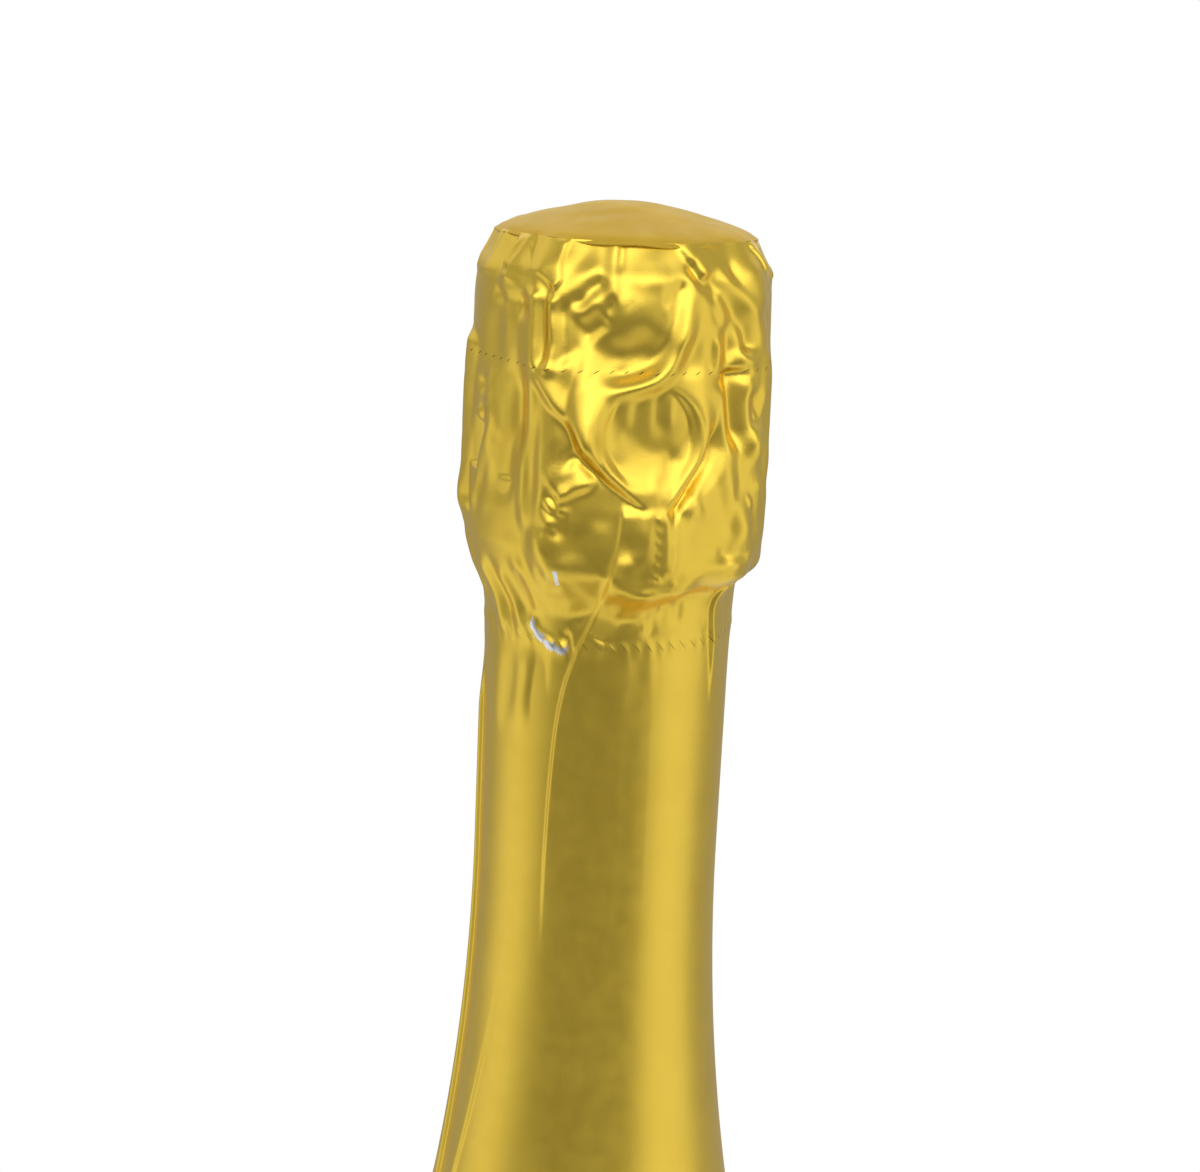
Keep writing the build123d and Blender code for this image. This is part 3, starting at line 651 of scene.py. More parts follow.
# The folds that the photograph shows, as (azimuth, drop) points from the top or the left
front_folds = [
    # pleats under the disc
    lap([(-43, -0.5), (-51, 1.2), (-52.5, 3.8)], 0.5, 5.5, "east", (0.02, 0.15)),
    bank([(-57, 5.0), (-46, 5.9), (-36, 5.3), (-27.5, 5.6)], 0.4, 4.0, 1.0),
    lap([(-24, 0), (-24.3, 1.7), (-23.7, 3.2), (-23, 4.2), (-25.5, 5.4)], 0.5, 4.0, "west", (0.02, 0.1)),
    bank([(-3.2, -0.2), (-3.4, 2.6), (-3, 4.8), (-2.4, 7.0)], 0.4, 0.35, 1.3, (0.02, 0.3)),
    crease([(-1.6, 0), (-1.8, 1.8), (-2, 3.4)], -0.3, 0.4, (0.02, 0.3)),
    bank([(23, -0.1), (26, 0.9), (29, 2.1), (34.5, 4.4)], 0.6, 2.6, 0.5, (0.02, 0.2)),
    crease([(26.5, 1.6), (28.7, 3.0), (33.4, 4.6)], -0.6, 0.8, (0.2, 0.2)),
    crease([(47, 2.0), (48.5, 4.2)], -0.35, 0.7),
    lap([(62, 0.2), (65, 1.6), (66, 3.4)], 0.45, 2.5, "east"),
    # ridges and dents in the crown's front
    bank([(-27, 5.6), (-21.5, 5.7), (-17, 5.2), (-13.5, 3.9), (-10.5, 2.5),
          (-7.5, 1.7)], 0.45, 1.8, 1.1, (0.1, 0.3)),
    bank([(-18.5, 7.2), (-14.5, 6.2), (-11, 4.9), (-6.4, 3.8)], -0.5, 1.8, 0.9),
    swell([(-18, 8.4), (-13.5, 7.0), (-8.4, 5.2)], 0.4, 1.5),
    swell([(-5.4, 6.6), (-3.2, 6.8)], -0.45, 1.2),
    bank([(-15, 10.4), (-12, 9.9), (-7.5, 8.9), (-4.5, 8.2)], -0.5, 1.7, 0.9),
    swell([(2.0, 6.4), (3.2, 6.6)], -0.15, 0.8),
    swell([(1, 4.4), (10, 3.6), (19, 3.2)], 0.25, 3.0),
    swell([(-9, 7.4), (1, 7.3), (9, 7.2), (16, 7.4)], 0.2, 2.4),
    swell([(-13, 12.0), (-7, 12.4), (0, 12.8), (7, 12.0), (13, 10.6), (17, 9.2)], -0.95, 3.4),
    swell([(-19, 12.0), (-14, 13.8), (-9, 15.0)], 0.5, 2.6),
    crease([(24, 3.4), (22.2, 4.6), (21, 6.2), (20.2, 8.2), (18.6, 9.8), (15.6, 11.9), (12, 13.2),
            (6, 14.1), (0, 14.4), (-7, 14.7)], -0.65, 0.9, (0.1, 0.15)),
    swell([(25, 3.8), (23.6, 7.4), (22, 9.8), (19.2, 12.2), (14, 14.0), (6, 15.1), (-2, 15.7),
           (-8, 16.4)], 1.0, 2.1),
    crease([(19.5, 4.3), (17.3, 5.4), (17.2, 6.8)], -0.25, 0.6),
    swell([(23, 10.0), (26, 12.0), (25, 14.6)], -0.35, 2.6),
    crease([(35, 9.6), (35.5, 11.8), (35, 14.2)], -0.2, 0.6),
    crease([(38, 9.6), (38.4, 12.0), (37.6, 14.2)], 0.35, 1.0),
    swell([(12, -0.1), (14, 2.4), (15, 5.2)], 0.2, 3.4),
    # groove and ridges over the left front leg
    crease([(-28.3, 6.2), (-27.6, 9.4), (-26.6, 12.2), (-27.8, 14.1)], -0.2, 0.6, (0.1, 0.1)),
    bank([(-31.6, 5.2), (-31.2, 9.6), (-30.6, 12.8), (-29.6, 14.6)], 1.0, 0.9, 2.4, (0.1, 0.1)),
    bank([(-25.2, 5.8), (-24.2, 8.8), (-23.6, 11.6), (-25.6, 14.6)], 0.9, 0.9, 0.9, (0.1, 0.1)),
    crease([(-24.2, 6.2), (-22.6, 7.8), (-22, 9.6), (-22.8, 12.8)], -0.4, 0.8),
    swell([(-21, 7.4), (-20, 10.4), (-20.5, 13.0)], 0.2, 1.4),
    # the crown's dull left side
    swell([(-45, 6.4), (-45, 10.6), (-45, 15.0)], 0.4, 2.6),
    swell([(-38.5, 8.0), (-38.5, 11.8), (-38.5, 15.0)], 0.3, 1.8),
    swell([(-41, 6.4), (-37, 7.4), (-34, 7.0)], -0.45, 1.8),
    swell([(-58, 6.4), (-53, 6.6), (-49, 6.2)], -0.3, 1.4),
    swell([(-56, 8.0), (-55, 12.0), (-53, 16.0)], -0.3, 3.0),
    # channel that runs down to the right between two ridges
    bank([(32.5, 2.9), (38, 4.8), (43, 6.5), (47, 8.0), (51.5, 9.8),
          (53.5, 12.4)], -1.0, 2.0, 1.6, (0.1, 0.1)),
    swell([(31.5, 2.0), (41, 4.4), (52.5, 7.6), (61, 10.2)], 0.5, 2.0),
    crease([(36, 5.0), (41, 7.0), (46, 8.6), (48.3, 10.2), (48.5, 12.8)], 0.45, 1.2, (0.1, 0.1)),
    crease([(35, 4.9), (36, 6.0), (37.5, 7.5), (39.5, 8.7)], -0.3, 0.8),
    swell([(40, 7.2), (43, 9.2), (44.4, 11.0), (44, 13.0), (42, 15.2), (39.6, 17.2)], -0.6, 1.6),
    swell([(56, 1.4), (57, 4.6), (60, 8.4)], 0.35, 2.6),
    swell([(67, 6.6), (68, 10.0), (68, 13.0)], -0.45, 1.8),
    # hook and channel below the upper slits on the right
    crease([(41.6, 15.2), (43, 13.8), (46.5, 12.9), (51.5, 12.8), (57.5, 13.4)], 0.55, 1.1, (0.1, 0.3)),
    bank([(46, 13.6), (46.6, 17.4), (47.4, 20.6), (49.6, 23.4)], -1.3, 1.8, 1.6, (0.05, 0.3)),
    swell([(51, 24.0), (50, 28.4), (48.6, 33.0)], -0.3, 2.0),
    crease([(41, 14.8), (41.2, 17.7), (42.3, 20.7), (43.6, 22.4), (42.6, 24.4), (44.5, 26.9),
            (48.5, 29.8), (57, 34.6)], 0.5, 1.5, (0.05, 0.2)),
    crease([(50, 14.2), (50.2, 18.0), (50.8, 20.6), (54, 22.3), (60, 25.0)], 0.75, 1.2, (0.1, 0.2)),
    swell([(55, 15.6), (56, 18.4), (57.4, 21.0)], -0.6, 1.7),
    swell([(57, 19.6), (57.4, 23.0)], 0.4, 1.6),
    crease([(58.5, 25.6), (60.5, 29.3), (62, 32.8), (67, 36.4)], 0.75, 1.5, (0.2, 0.2)),
    swell([(56, 26.4), (58, 30.0), (59, 33.6)], -0.5, 1.6),
    crease([(63, 7.6), (68, 11.0), (65, 14.5), (64, 20.0)], 0.6, 1.6),
    crease([(78, 10.0), (80, 18.0), (84, 27.0), (86, 31.5), (84, 36.0)], 0.4, 2.2),
    # valley between the loop's face and the right sheet, and the sheet's lower bulge
    swell([(37, 15.6), (37.6, 20.0), (37, 23.4), (33, 25.8), (26, 27.6), (23, 29.6),
           (22.2, 33.4)], -0.55, 1.7),
    swell([(27, 30.2), (30, 28.2), (33, 28.0)], 0.3, 2.2),
    crease([(39, 34.6), (48, 34.8), (57, 35.6)], -0.4, 1.3),
    swell([(25, 36.0), (36, 36.3), (50, 36.4), (58, 37.0)], 0.4, 1.5),
    swell([(26, 33.4), (36, 32.2), (47, 32.0)], -0.2, 2.4),
    # fold that runs down to the loop's face from the left, with the bright sheet above it
    bank([(-30, 13.6), (-26.6, 15.6), (-21.6, 17.6), (-16.4, 19.2), (-12.4, 20.8), (-9.6, 22.8),
          (-7.6, 25.0)], 1.0, 4.2, 0.7, (0.12, 0.25)),
    bank([(-20, 28.2), (-14.6, 27.2), (-9.6, 26.4), (-5.6, 25.4)], 0.7, 3.4, 0.6, (0.1, 0.3)),
    swell([(-17, 24.4), (-13.4, 25.2)], 0.25, 1.8),
    crease([(-14.4, 22.4), (-16.4, 24.4), (-18.3, 26.4), (-20.6, 28.2),
            (-22.8, 30.2)], -0.5, 0.9, (0.2, 0.1)),
    # soft streaks in the loop's face
    swell([(-2.2, 17.6), (-2.0, 20.2), (-1.2, 23.0)], -0.16, 0.9),
    swell([(3.2, 16.2), (3.0, 18.4), (3.4, 20.8)], 0.2, 1.1),
    swell([(15.6, 15.0), (15.4, 18.2), (15.6, 21.4)], -0.2, 1.0),
    swell([(18.6, 15.2), (18.4, 17.8), (18.6, 20.4)], 0.18, 0.9),
    swell([(21.6, 21.6), (20.6, 25.0), (19.4, 28.0)], -0.3, 1.3),
    # panel between the legs' feet, left of the tail
    crease([(-12, 30.0), (-12.6, 33.0), (-12, 36.0)], 0.15, 1.0),
    swell([(-15.4, 30.4), (-15.2, 33.4), (-14.6, 36.2)], -0.2, 1.4),
    swell([(-11, 30.0), (-11.4, 32.6), (-11, 36.0)], -0.2, 1.6),
    swell([(-4.4, 30.0), (-4.4, 32.2), (-4.6, 35.6)], 0.2, 2.0),
    lap([(3.8, 28.2), (3.3, 30.6), (2.6, 32.9), (1.6, 35.4), (-0.6, 38.4), (-3, 40.6),
         (-8.5, 44.2)], 0.4, 3.0, "east", (0.1, 0.0)),
    swell([(6.4, 33.2), (5.6, 36.0)], 0.15, 1.8),
    swell([(10, 29.4), (10.6, 33.0), (9.6, 36.6)], 0.25, 1.6),
    crease([(20.2, 29.4), (20, 33.0), (20, 36.6)], 0.35, 0.8, (0.1, 0.1)),
    # the left side's upright facets
    swell([(-66, 16.0), (-64.6, 17.4), (-62, 18.6)], -0.55, 1.7),
    swell([(-68, 20.0), (-64, 20.6), (-60, 21.0)], 0.5, 1.4),
    bank([(-64, 21.4), (-67.5, 24.6), (-70, 28.2), (-75, 33.0)], -1.1, 1.3, 2.6, (0.05, 0.1)),
    crease([(-57, 14.8), (-56.5, 18.4), (-54.6, 21.0), (-57.5, 23.4), (-61, 25.2), (-66, 29.0),
            (-71, 34.0)], 0.5, 1.5, (0.15, 0.2)),
    swell([(-49.5, 15.0), (-50, 20.6), (-54, 26.2), (-56, 31.0)], 0.4, 2.6),
    swell([(-45, 15.0), (-44.6, 20.6), (-47, 27.0), (-47.6, 33.0)], -0.3, 2.8),
    swell([(-37, 14.4), (-37.4, 18.6), (-37.8, 23.8)], -0.45, 1.9),
    crease([(-32, 14.0), (-32.6, 17.4), (-33, 21.0), (-33.5, 25.2), (-34.2, 30.0),
            (-33, 34.4)], 0.5, 1.2, (0.05, 0.2)),
    swell([(-38.5, 22.4), (-37.4, 26.6), (-39.4, 31.0)], 0.4, 1.7),
    swell([(-30.2, 15.6), (-30.6, 20.0), (-30.8, 25.0), (-30.2, 31.4)], -0.45, 1.5),
    swell([(-27.4, 31.6), (-26, 34.0), (-25.4, 35.6)], 0.4, 1.5),
    crease([(-74, 11.6), (-82, 18.0), (-85, 25.0), (-84, 31.6), (-79, 35.0)], 1.0, 2.4, (0.05, 0.15)),
    # beaded foot of the left leg
    crease([(-26, 35.6), (-25.2, 37.6), (-22, 38.7), (-17.6, 38.0)], -0.35, 0.8),
    swell([(-18.8, 29.0), (-18.9, 31.4), (-18.6, 33.2)], -0.4, 0.9),
    swell([(-21.2, 30.4), (-21, 31.6)], 0.3, 0.9),
    swell([(-17.6, 29.2), (-17.2, 30.2)], 0.3, 0.8),
    # the turn under the belt
    swell([(20, 39.4), (13, 40.0), (7, 41.0), (1, 42.6)], 0.75, 2.0),
    crease([(13, 41.4), (15.4, 42.6), (17, 44.6)], 0.3, 1.1),
    crease([(20.6, 40.4), (18.6, 42.6), (20, 45.2)], -0.3, 1.0),
    swell([(7, 41.0), (8.6, 43.4)], -0.25, 1.3),
    swell([(-16, 41.6), (-11, 42.4), (-8, 43.0)], -0.3, 2.0),
    crease([(-25, 39.8), (-20, 40.4), (-16, 40.2)], -0.2, 1.0),
    crease([(30, 39.6), (32, 41.6), (31, 43.6)], -0.2, 0.9),
    crease([(-42, 35.4), (-35.5, 38.2), (-32, 41.2), (-31.6, 43.4)], 0.45, 1.5),
    crease([(-40, 37.4), (-36, 40.0), (-34.6, 43.0)], -0.3, 0.9),
    crease([(-51, 36.8), (-46, 40.3), (-41, 44.4), (-39, 49.0)], 0.45, 1.8),
    crease([(-46, 37.6), (-41, 41.0), (-38, 44.6)], -0.35, 1.1),
    crease([(-67, 36.4), (-60, 40.3), (-54, 45.4), (-52, 49.6)], 0.5, 2.0),
    crease([(-58, 37.0), (-52, 41.2), (-48, 45.2)], -0.4, 1.4),
    crease([(-80, 34.0), (-74, 39.0), (-70, 44.0)], 0.4, 1.6),
]
# Long laps of the foil on the neck, as (azimuth, drop) points from the top
neck_folds = [
    lap([(-8.5, 44.2), (-13, 47.0), (-19, 52.7), (-22, 60.0), (-24, 72.7),
         (-24, 86.0)], 0.4, 5.0, "east", (0.0, 0.6)),
    lap([(64, 39.0), (57, 39.4), (52.5, 40.4), (51.4, 42.2), (53.4, 45.6), (56, 50.0),
         (58.5, 55.0)], 0.55, 4.0, "east", (0.1, 0.5)),
    lap([(-79, 50.0), (-78, 80.0), (-76, 129.0)], 0.6, 6.0, "west", (0.1, 0.0)),
    crease([(-77.5, 50.0), (-76.5, 80.0), (-74.5, 129.0)], -0.3, 0.35, (0.1, 0.0)),
    lap([(-48, 88.0), (-55, 104.0), (-62, 118.0), (-66, 129.0)], 0.25, 3.0, "west", (0.5, 0.0)),
    lap([(130, 48.0), (126, 90.0), (118, 129.0)], 0.4, 5.0, "east", (0.2, 0.0)),
    lap([(-150, 48.0), (-146, 90.0), (-150, 129.0)], 0.35, 5.0, "west", (0.2, 0.0)),
    crease([(-34.6, 43.0), (-34.2, 44.4), (-31.5, 45.2), (-26, 46.1), (-20.5, 46.5),
            (-15.6, 46.6)], 0.35, 0.7, (0.1, 0.1)),
    crease([(-17.8, 44.4), (-16.8, 45.6), (-15.2, 47.0)], -0.5, 0.35, (0.1, 0.1)),
    swell([(-42, 46.0), (-40, 51.0), (-44, 58.0)], 0.3, 2.2),
    swell([(-30, 46.0), (-31, 50.0), (-34, 56.0)], -0.2, 1.6),
    swell([(-56, 46.0), (-58, 52.0), (-60, 60.0)], 0.2, 2.2),
    swell([(5, 46.0), (6, 50.0), (4, 55.0)], 0.15, 3.0),
]


# Pleats at the sides and back: shift, drift and height, each drawn between two values
pleats_start, pleats_end, pleat_pitch = 72, 318, 9
pleat_ranges = [(-3, 3), (-7, 7), (0.2, 0.5)]
pleat_middle_drop, pleat_end_drop = 2.4, 5.5
pleat_fade = 3.5
# Long folds there: azimuth, top, length, drift, bow, height and width, each drawn between two values
long_fold_count = 46
long_fold_ranges = [(74, 282), (4, 26), (8, 20), (-9, 9), (-5, 5), (-0.5, 0.55), (0.9, 2.2)]
side_seed = 7
# Crumples: each one's length and width as shares of their size, its slant from upright and its bow
crumple_length_shares = (0.5, 1.5)
crumple_width_shares = (0.2, 0.45)
crumple_slant = 0.6
crumple_bow = 2


def side_folds():
    """Pleats and long upright folds where the photograph doesn't look, the same each time."""
    random = np.random.default_rng(side_seed)
    folds = []
    for azimuth in np.arange(pleats_start, pleats_end, pleat_pitch):
        shift, drift, height = (random.uniform(*ends) for ends in pleat_ranges)
        start = azimuth + shift
        route = [(start, 0), (start + drift / 2, pleat_middle_drop), (start + drift, pleat_end_drop)]
        folds.append(lap(route, height, pleat_fade, random.choice(["east", "west"])))
    for _ in range(long_fold_count):
        azimuth, top, length, drift, bow, height, width = (random.uniform(*ends) for ends in long_fold_ranges)
        middle = (azimuth + drift / 2 + bow, top + length / 2)
        route = [(azimuth, top), middle, (azimuth + drift, top + length)]
        folds.append(crease(route, height, width))
    return folds


def crumples(count, low, high, height, size, seed):
    """Small creases between two drops, at random places and angles, the same each time."""
    random = np.random.default_rng(seed)
    folds = []
    for _ in range(count):
        azimuth = random.uniform(-180, 180)
        drop = random.uniform(low, high)
        length = random.uniform(*crumple_length_shares) * size
        angle = random.normal(math.pi / 2, crumple_slant)
        across = length * math.cos(angle) / (math.radians(1) * paper_radius)
        down = length * math.sin(angle)
        bow = random.uniform(-crumple_bow, crumple_bow)
        middle = (azimuth + across / 2 + bow, drop + down / 2)
        route = [(azimuth, drop), middle, (azimuth + across, drop + down)]
        depth = random.uniform(-1, 1) * height
        folds.append(crease(route, depth, random.uniform(*crumple_width_shares) * size))
    return folds


def slit_lips():
    """The turned-out lip of each slanted slit in the lower tear line."""
    lips = []
    for start in np.arange(-180, 180, dash_pitch):
        end = start + dash_share * dash_pitch
        route = [(start, lower_tear - dash_fall / 2), (end, lower_tear + dash_fall / 2)]
        lips.append(crease(route, dash_lip_height, dash_lip_width))
    return lips


hood_crumples = crumples(count=200, low=1, high=42, height=0.07, size=3.0, seed=11)
neck_crumples = crumples(count=60, low=40, high=50, height=0.08, size=3.0, seed=5)
hood_folds = front_folds + side_folds() + hood_crumples
all_neck_folds = neck_folds + slit_lips() + neck_crumples


def bare_radius(drop):
    """Radius of the cork's head, the glass ring and the neck, which the foil never dips below."""
    z = rim_z - drop
    ring = (z > ring_bottom_z - foil_lift) & (z < ring_top_z + foil_lift)
    cork = np.minimum(cork_head_radius - foil_lift, plaque_rim_radius + plaque_rim_slope_share * drop)
    return np.where(ring, ring_radius, np.where(z > ring_top_z, cork, glass_radius(z)))


def softened(values, passes):
    """A grid's values evened out over its neighbours, round its closed rows too, this many times."""
    for _ in range(passes):
        values = (np.roll(values, 1, 1) + 2 * values + np.roll(values, -1, 1)) / 4
        above = np.vstack([values[:1], values[:-1]])
        below = np.vstack([values[1:], values[-1:]])
        values = (above + 2 * values + below) / 4
    return values


def foil_radius(azimuth, drop):
    """Outer radius of the foil at these azimuths and drops, folds included: laps sharp, the rest soft."""
    radius = hood_form(azimuth, drop)
    laps = np.zeros(radius.shape)
    hood_end = lower_tear + hood_folds_below
    hood_fade = faded(drop, lower_tear - hood_folds_above, hood_end)
    hood = hood_folds if drop.min() < hood_end else []
    for folds, fade in ((hood, hood_fade), (all_neck_folds, 1)):
        for fold in folds:
            height = fade * fold_height(azimuth, drop, **fold)
            if min(fold["east"], fold["west"]) < lap_limit:
                laps += height
            else:
                radius += height
    radius = softened(radius, soft_passes) + laps
    radius = np.maximum(radius, bare_radius(drop) + foil_lift + foil_thickness)
    return softened(over_wires(radius, azimuth, drop), last_soft_passes)


# Tear lines

def upper_edge(azimuth):
    """Middle of the upper tear line, a row of short curved slits, and how far each slit is open."""
    place = (azimuth / slit_pitch) % 1
    opened = np.clip(1 - ((place - slit_middle_share) / slit_half_share) ** 2, 0, 1)
    return upper_tear + slit_curve * np.sin(2 * np.pi * place) * (opened > 0), slit_half_opening * opened


def lower_edge(azimuth):
    """Middle of the lower tear line, slanted slits joined by short bridges, and how far each slit is open."""
    place = (azimuth / dash_pitch) % 1
    slant = np.where(place < dash_share, place / dash_share, (1 - place) / (1 - dash_share))
    opened = np.clip(1 - ((place - dash_middle_share) / dash_half_share) ** 2, 0, 1)
    return lower_tear + dash_fall * (slant - 0.5), dash_half_opening * opened


def columns():
    """Azimuths of the foil's columns, closer together on the side that the photograph shows."""
    front_count = round(2 * front_half_angle / front_step)
    back_count = round((360 - 2 * front_half_angle) / back_step)
    front = np.linspace(-front_half_angle, front_half_angle, front_count, endpoint=False)
    back = np.linspace(front_half_angle, 360 - front_half_angle, back_count, endpoint=False)
    return np.concatenate([front, back])


def mesh_object(name, points, faces, materials, face_slots=None, smooth=True, sharp_rings=(), ring_count=1):
    """A mesh piece from points in millimetres and faces. Edges along the sharp rings of points stay sharp."""
    mesh = bpy.data.meshes.new(name)
    mesh.from_pydata((np.asarray(points) * metres_per_mm).tolist(), [], faces)
    if sharp_rings:
        ends = np.empty(2 * len(mesh.edges), np.int32)
        mesh.edges.foreach_get("vertices", ends)
        rings = ends.reshape(-1, 2) // ring_count
        sharp = (rings[:, 0] == rings[:, 1]) & np.isin(rings[:, 0], sharp_rings)
        mesh.attributes.new("sharp_edge", "BOOLEAN", "EDGE").data.foreach_set("value", sharp)
    for material in materials:
        mesh.materials.append(material)
    if face_slots is not None:
        mesh.polygons.foreach_set("material_index", np.asarray(face_slots, np.int32))
    mesh.polygons.foreach_set("use_smooth", np.full(len(mesh.polygons), smooth))
    mesh.update()
    piece = bpy.data.objects.new(name, mesh)
    bpy.context.collection.objects.link(piece)
    return piece


def grid_faces(rows, count, first, flip=False):
    """Quads of a grid that closes round, whose points start at number first."""
    i = np.arange(rows - 1)[:, None]
    j = np.arange(count)[None, :]
    a = first + i * count + j
    b = first + i * count + (j + 1) % count
    quads = np.stack([a, b, b + count, a + count] if flip else [a, a + count, b + count, b], -1)
    return quads.reshape(-1, 4).tolist()


def foil_table(first, last, step):
    """The foil's radius at all its columns, on even rows from one drop to another."""
    drops = np.arange(first, last, step)
    azimuth, drop = np.meshgrid(columns(), drops)
    return drops, foil_radius(azimuth, drop)


# Where the foil is torn and its silver back shows, as (azimuth, drop) points and a half width
silver_tears = [
    ([(-34.6, 43.0), (-34.2, 44.4), (-31.5, 45.2), (-26, 46.1), (-20.5, 46.5), (-15.6, 46.6)], 0.32),
    ([(-19.4, 36.2), (-18.6, 37.2), (-18.9, 38.3)], 0.16),
]


def torn_share(azimuth, drop):
    """Above 0 where the silver back of the foil shows on the outside."""
    taper = (0.3, 0.3)
    marks = [fold_height(azimuth, drop, route, 1.0, half, half, ends=taper) for route, half in silver_tears]
    return np.max(marks, 0)


def foil_sheet(name, top, bottom, row_step, table, materials, inner_every=3):
    """A closed sheet of foil between two edges: the shown outside, and a silver inside that follows it."""
    azimuth = columns()
    table_drops, table_radius = table
    rows = 1 + round(float(np.mean(bottom - top)) / row_step)
    while (rows - 1) % inner_every:
        rows += 1
    share = np.linspace(0, 1, rows)[:, None]
    drop = top[None, :] + (bottom - top)[None, :] * share
    radius = np.stack([np.interp(d, table_drops, r) for d, r in zip(drop.T, table_radius.T)], -1)
    outside = round_points(radius, np.radians(np.broadcast_to(azimuth, drop.shape)), drop)
    along = np.roll(outside, -1, 1) - np.roll(outside, 1, 1)
    outward = np.cross(along, np.gradient(outside, axis=0))
    outward *= -1 / np.linalg.norm(outward, axis=-1)[..., None]
    inside = (outside - inner_share * foil_thickness * outward)[::inner_every]
    torn = torn_share(np.broadcast_to(azimuth, drop.shape), drop)[:-1].ravel() > torn_least_share
    return closed_sheet(name, outside, inside, materials, torn.astype(int).tolist())


def round_points(radius, angle, drop):
    """Points at these radii, azimuths in radians and drops."""
    return np.stack([radius * np.sin(angle), -radius * np.cos(angle), rim_z - drop], -1)


def closed_sheet(name, outside, inside, materials, slots, capped=False):
    """One mesh of an outside and an inside grid, joined at their last rows, joined or capped at the first."""
    rows, count = outside.shape[:2]
    inner_rows = len(inside)
    first = rows * count
    outer_faces = grid_faces(rows, count, 0)
    inner_faces = grid_faces(inner_rows, count, first, flip=True)
    j = np.arange(count)
    k = (j + 1) % count
    last, inner_last = (rows - 1) * count, first + (inner_rows - 1) * count
    rim = np.stack([last + k, last + j, inner_last + j, inner_last + k], -1).tolist()
    if capped:
        ends = rim + [j.tolist(), (first + j[::-1]).tolist()]
        slots = slots + [1] * len(inner_faces) + [0] * (count + 1) + [1]
        rings = (rows - 1, rows + inner_rows - 1)
    else:
        ends = np.stack([j, k, first + k, first + j], -1).tolist() + rim
        slots = slots + [1] * (len(inner_faces) + 2 * count)
        rings = (0, rows - 1, rows, rows + inner_rows - 1)
    points = np.concatenate([outside.reshape(-1, 3), inside.reshape(-1, 3)])
    faces = outer_faces + inner_faces + ends
    return mesh_object(name, points, faces, materials, slots, sharp_rings=rings, ring_count=count)


def foil_pieces(gold, disc_gold, silver):
    """The crown, band, sleeve and disc, each on its body and in its node's place."""
    azimuth = columns()
    upper, upper_open = upper_edge(azimuth)
    lower, lower_open = lower_edge(azimuth)
    top = np.full(len(azimuth), crown_top)
    end = np.full(len(azimuth), sleeve_end)
    materials = [gold, silver]
    hood = foil_table(-table_over_rim, lower_tear + table_overlap, hood_row_step)
    neck = foil_table(lower_tear - table_overlap, sleeve_end + table_under_end, neck_row_step / 2)
    high, middle = (top, upper - upper_open), (upper + upper_open, lower - lower_open)
    crown = foil_sheet("foil_crown_skin", *high, hood_row_step, hood, materials)
    band = foil_sheet("foil_band_skin", *middle, hood_row_step, hood, materials)
    sleeve = foil_sheet("foil_sleeve_skin", lower + lower_open, end, neck_row_step, neck, materials)
    disc = foil_disc([disc_gold, silver])
    for piece, body, node in (
        (crown, "foil_hood", "foil_crown"),
        (band, "foil_hood", "foil_tear_band"),
        (sleeve, "bottle", "foil_neck_sleeve"),
        (disc, "foil_hood", "foil_disc"),
    ):
        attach(piece, body)
        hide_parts(node)


# Foil disc: its drop at each radius, and how its edge is pressed over the legs' heads
disc_profile = [(0.0, -3.4), (2.8, -3.28), (7.5, -2.35), (12.4, -1.05), (14.0, -0.45), (15.1, 0.3)]
disc_radius = 15.1
disc_hole_radius = 0.02
disc_first_ring = 0.4
disc_rings = 74
disc_edge_start, disc_edge_width = 11.5, 3.6
disc_leg_flat, disc_leg_reach = 2.0, 14.0
disc_leg_rise = 0.5
disc_leg_growth_share = 0.018
disc_out_of_round_share = 0.012
disc_dent_depth = 0.05
disc_dent_radius = 6.0
# Waves round the disc's edge, as (height, how many, phase)
disc_waves = [(0.10, 5, 0.6), (0.07, 9, 2.0), (0.05, 16, 0.0)]


def foil_disc(materials):
    """The round top: a low cone with its edge pressed down over the crown's pleats."""
    rings = np.concatenate([[disc_hole_radius], np.linspace(disc_first_ring, disc_radius, disc_rings)])
    radius, angle = np.meshgrid(rings, np.radians(columns()[::2]), indexing="ij")
    turns = [np.abs(turn_between(np.degrees(angle), head)) for head, _ in legs]
    over_legs = np.max([faded(turn, disc_leg_flat, disc_leg_reach) for turn in turns], 0)
    edge = np.clip((radius - disc_edge_start) / disc_edge_width, 0, 1) ** 2
    waves = sum(height * np.sin(count * angle + phase) for height, count, phase in disc_waves)
    drop = through(radius, disc_profile) - edge * (disc_leg_rise * over_legs + waves)
    dents = np.sin(0.9 * radius + 2 * np.sin(2 * angle + 1)) * np.sin(3 * angle + 0.35 * radius)
    drop = drop + disc_dent_depth * dents * np.clip(radius / disc_dent_radius, 0, 1)
    growth = disc_out_of_round_share * np.sin(4 * angle + 1.2) + disc_leg_growth_share * over_legs
    shown = radius * (1 + growth * edge)
    outside = round_points(shown, angle, drop)
    inside = round_points(shown, angle, drop + inner_share * foil_thickness)
    gold_faces = (len(rings) - 1) * radius.shape[1]
    return closed_sheet("foil_disc_skin", outside, inside, materials, [0] * gold_faces, capped=True)


# Wire pieces

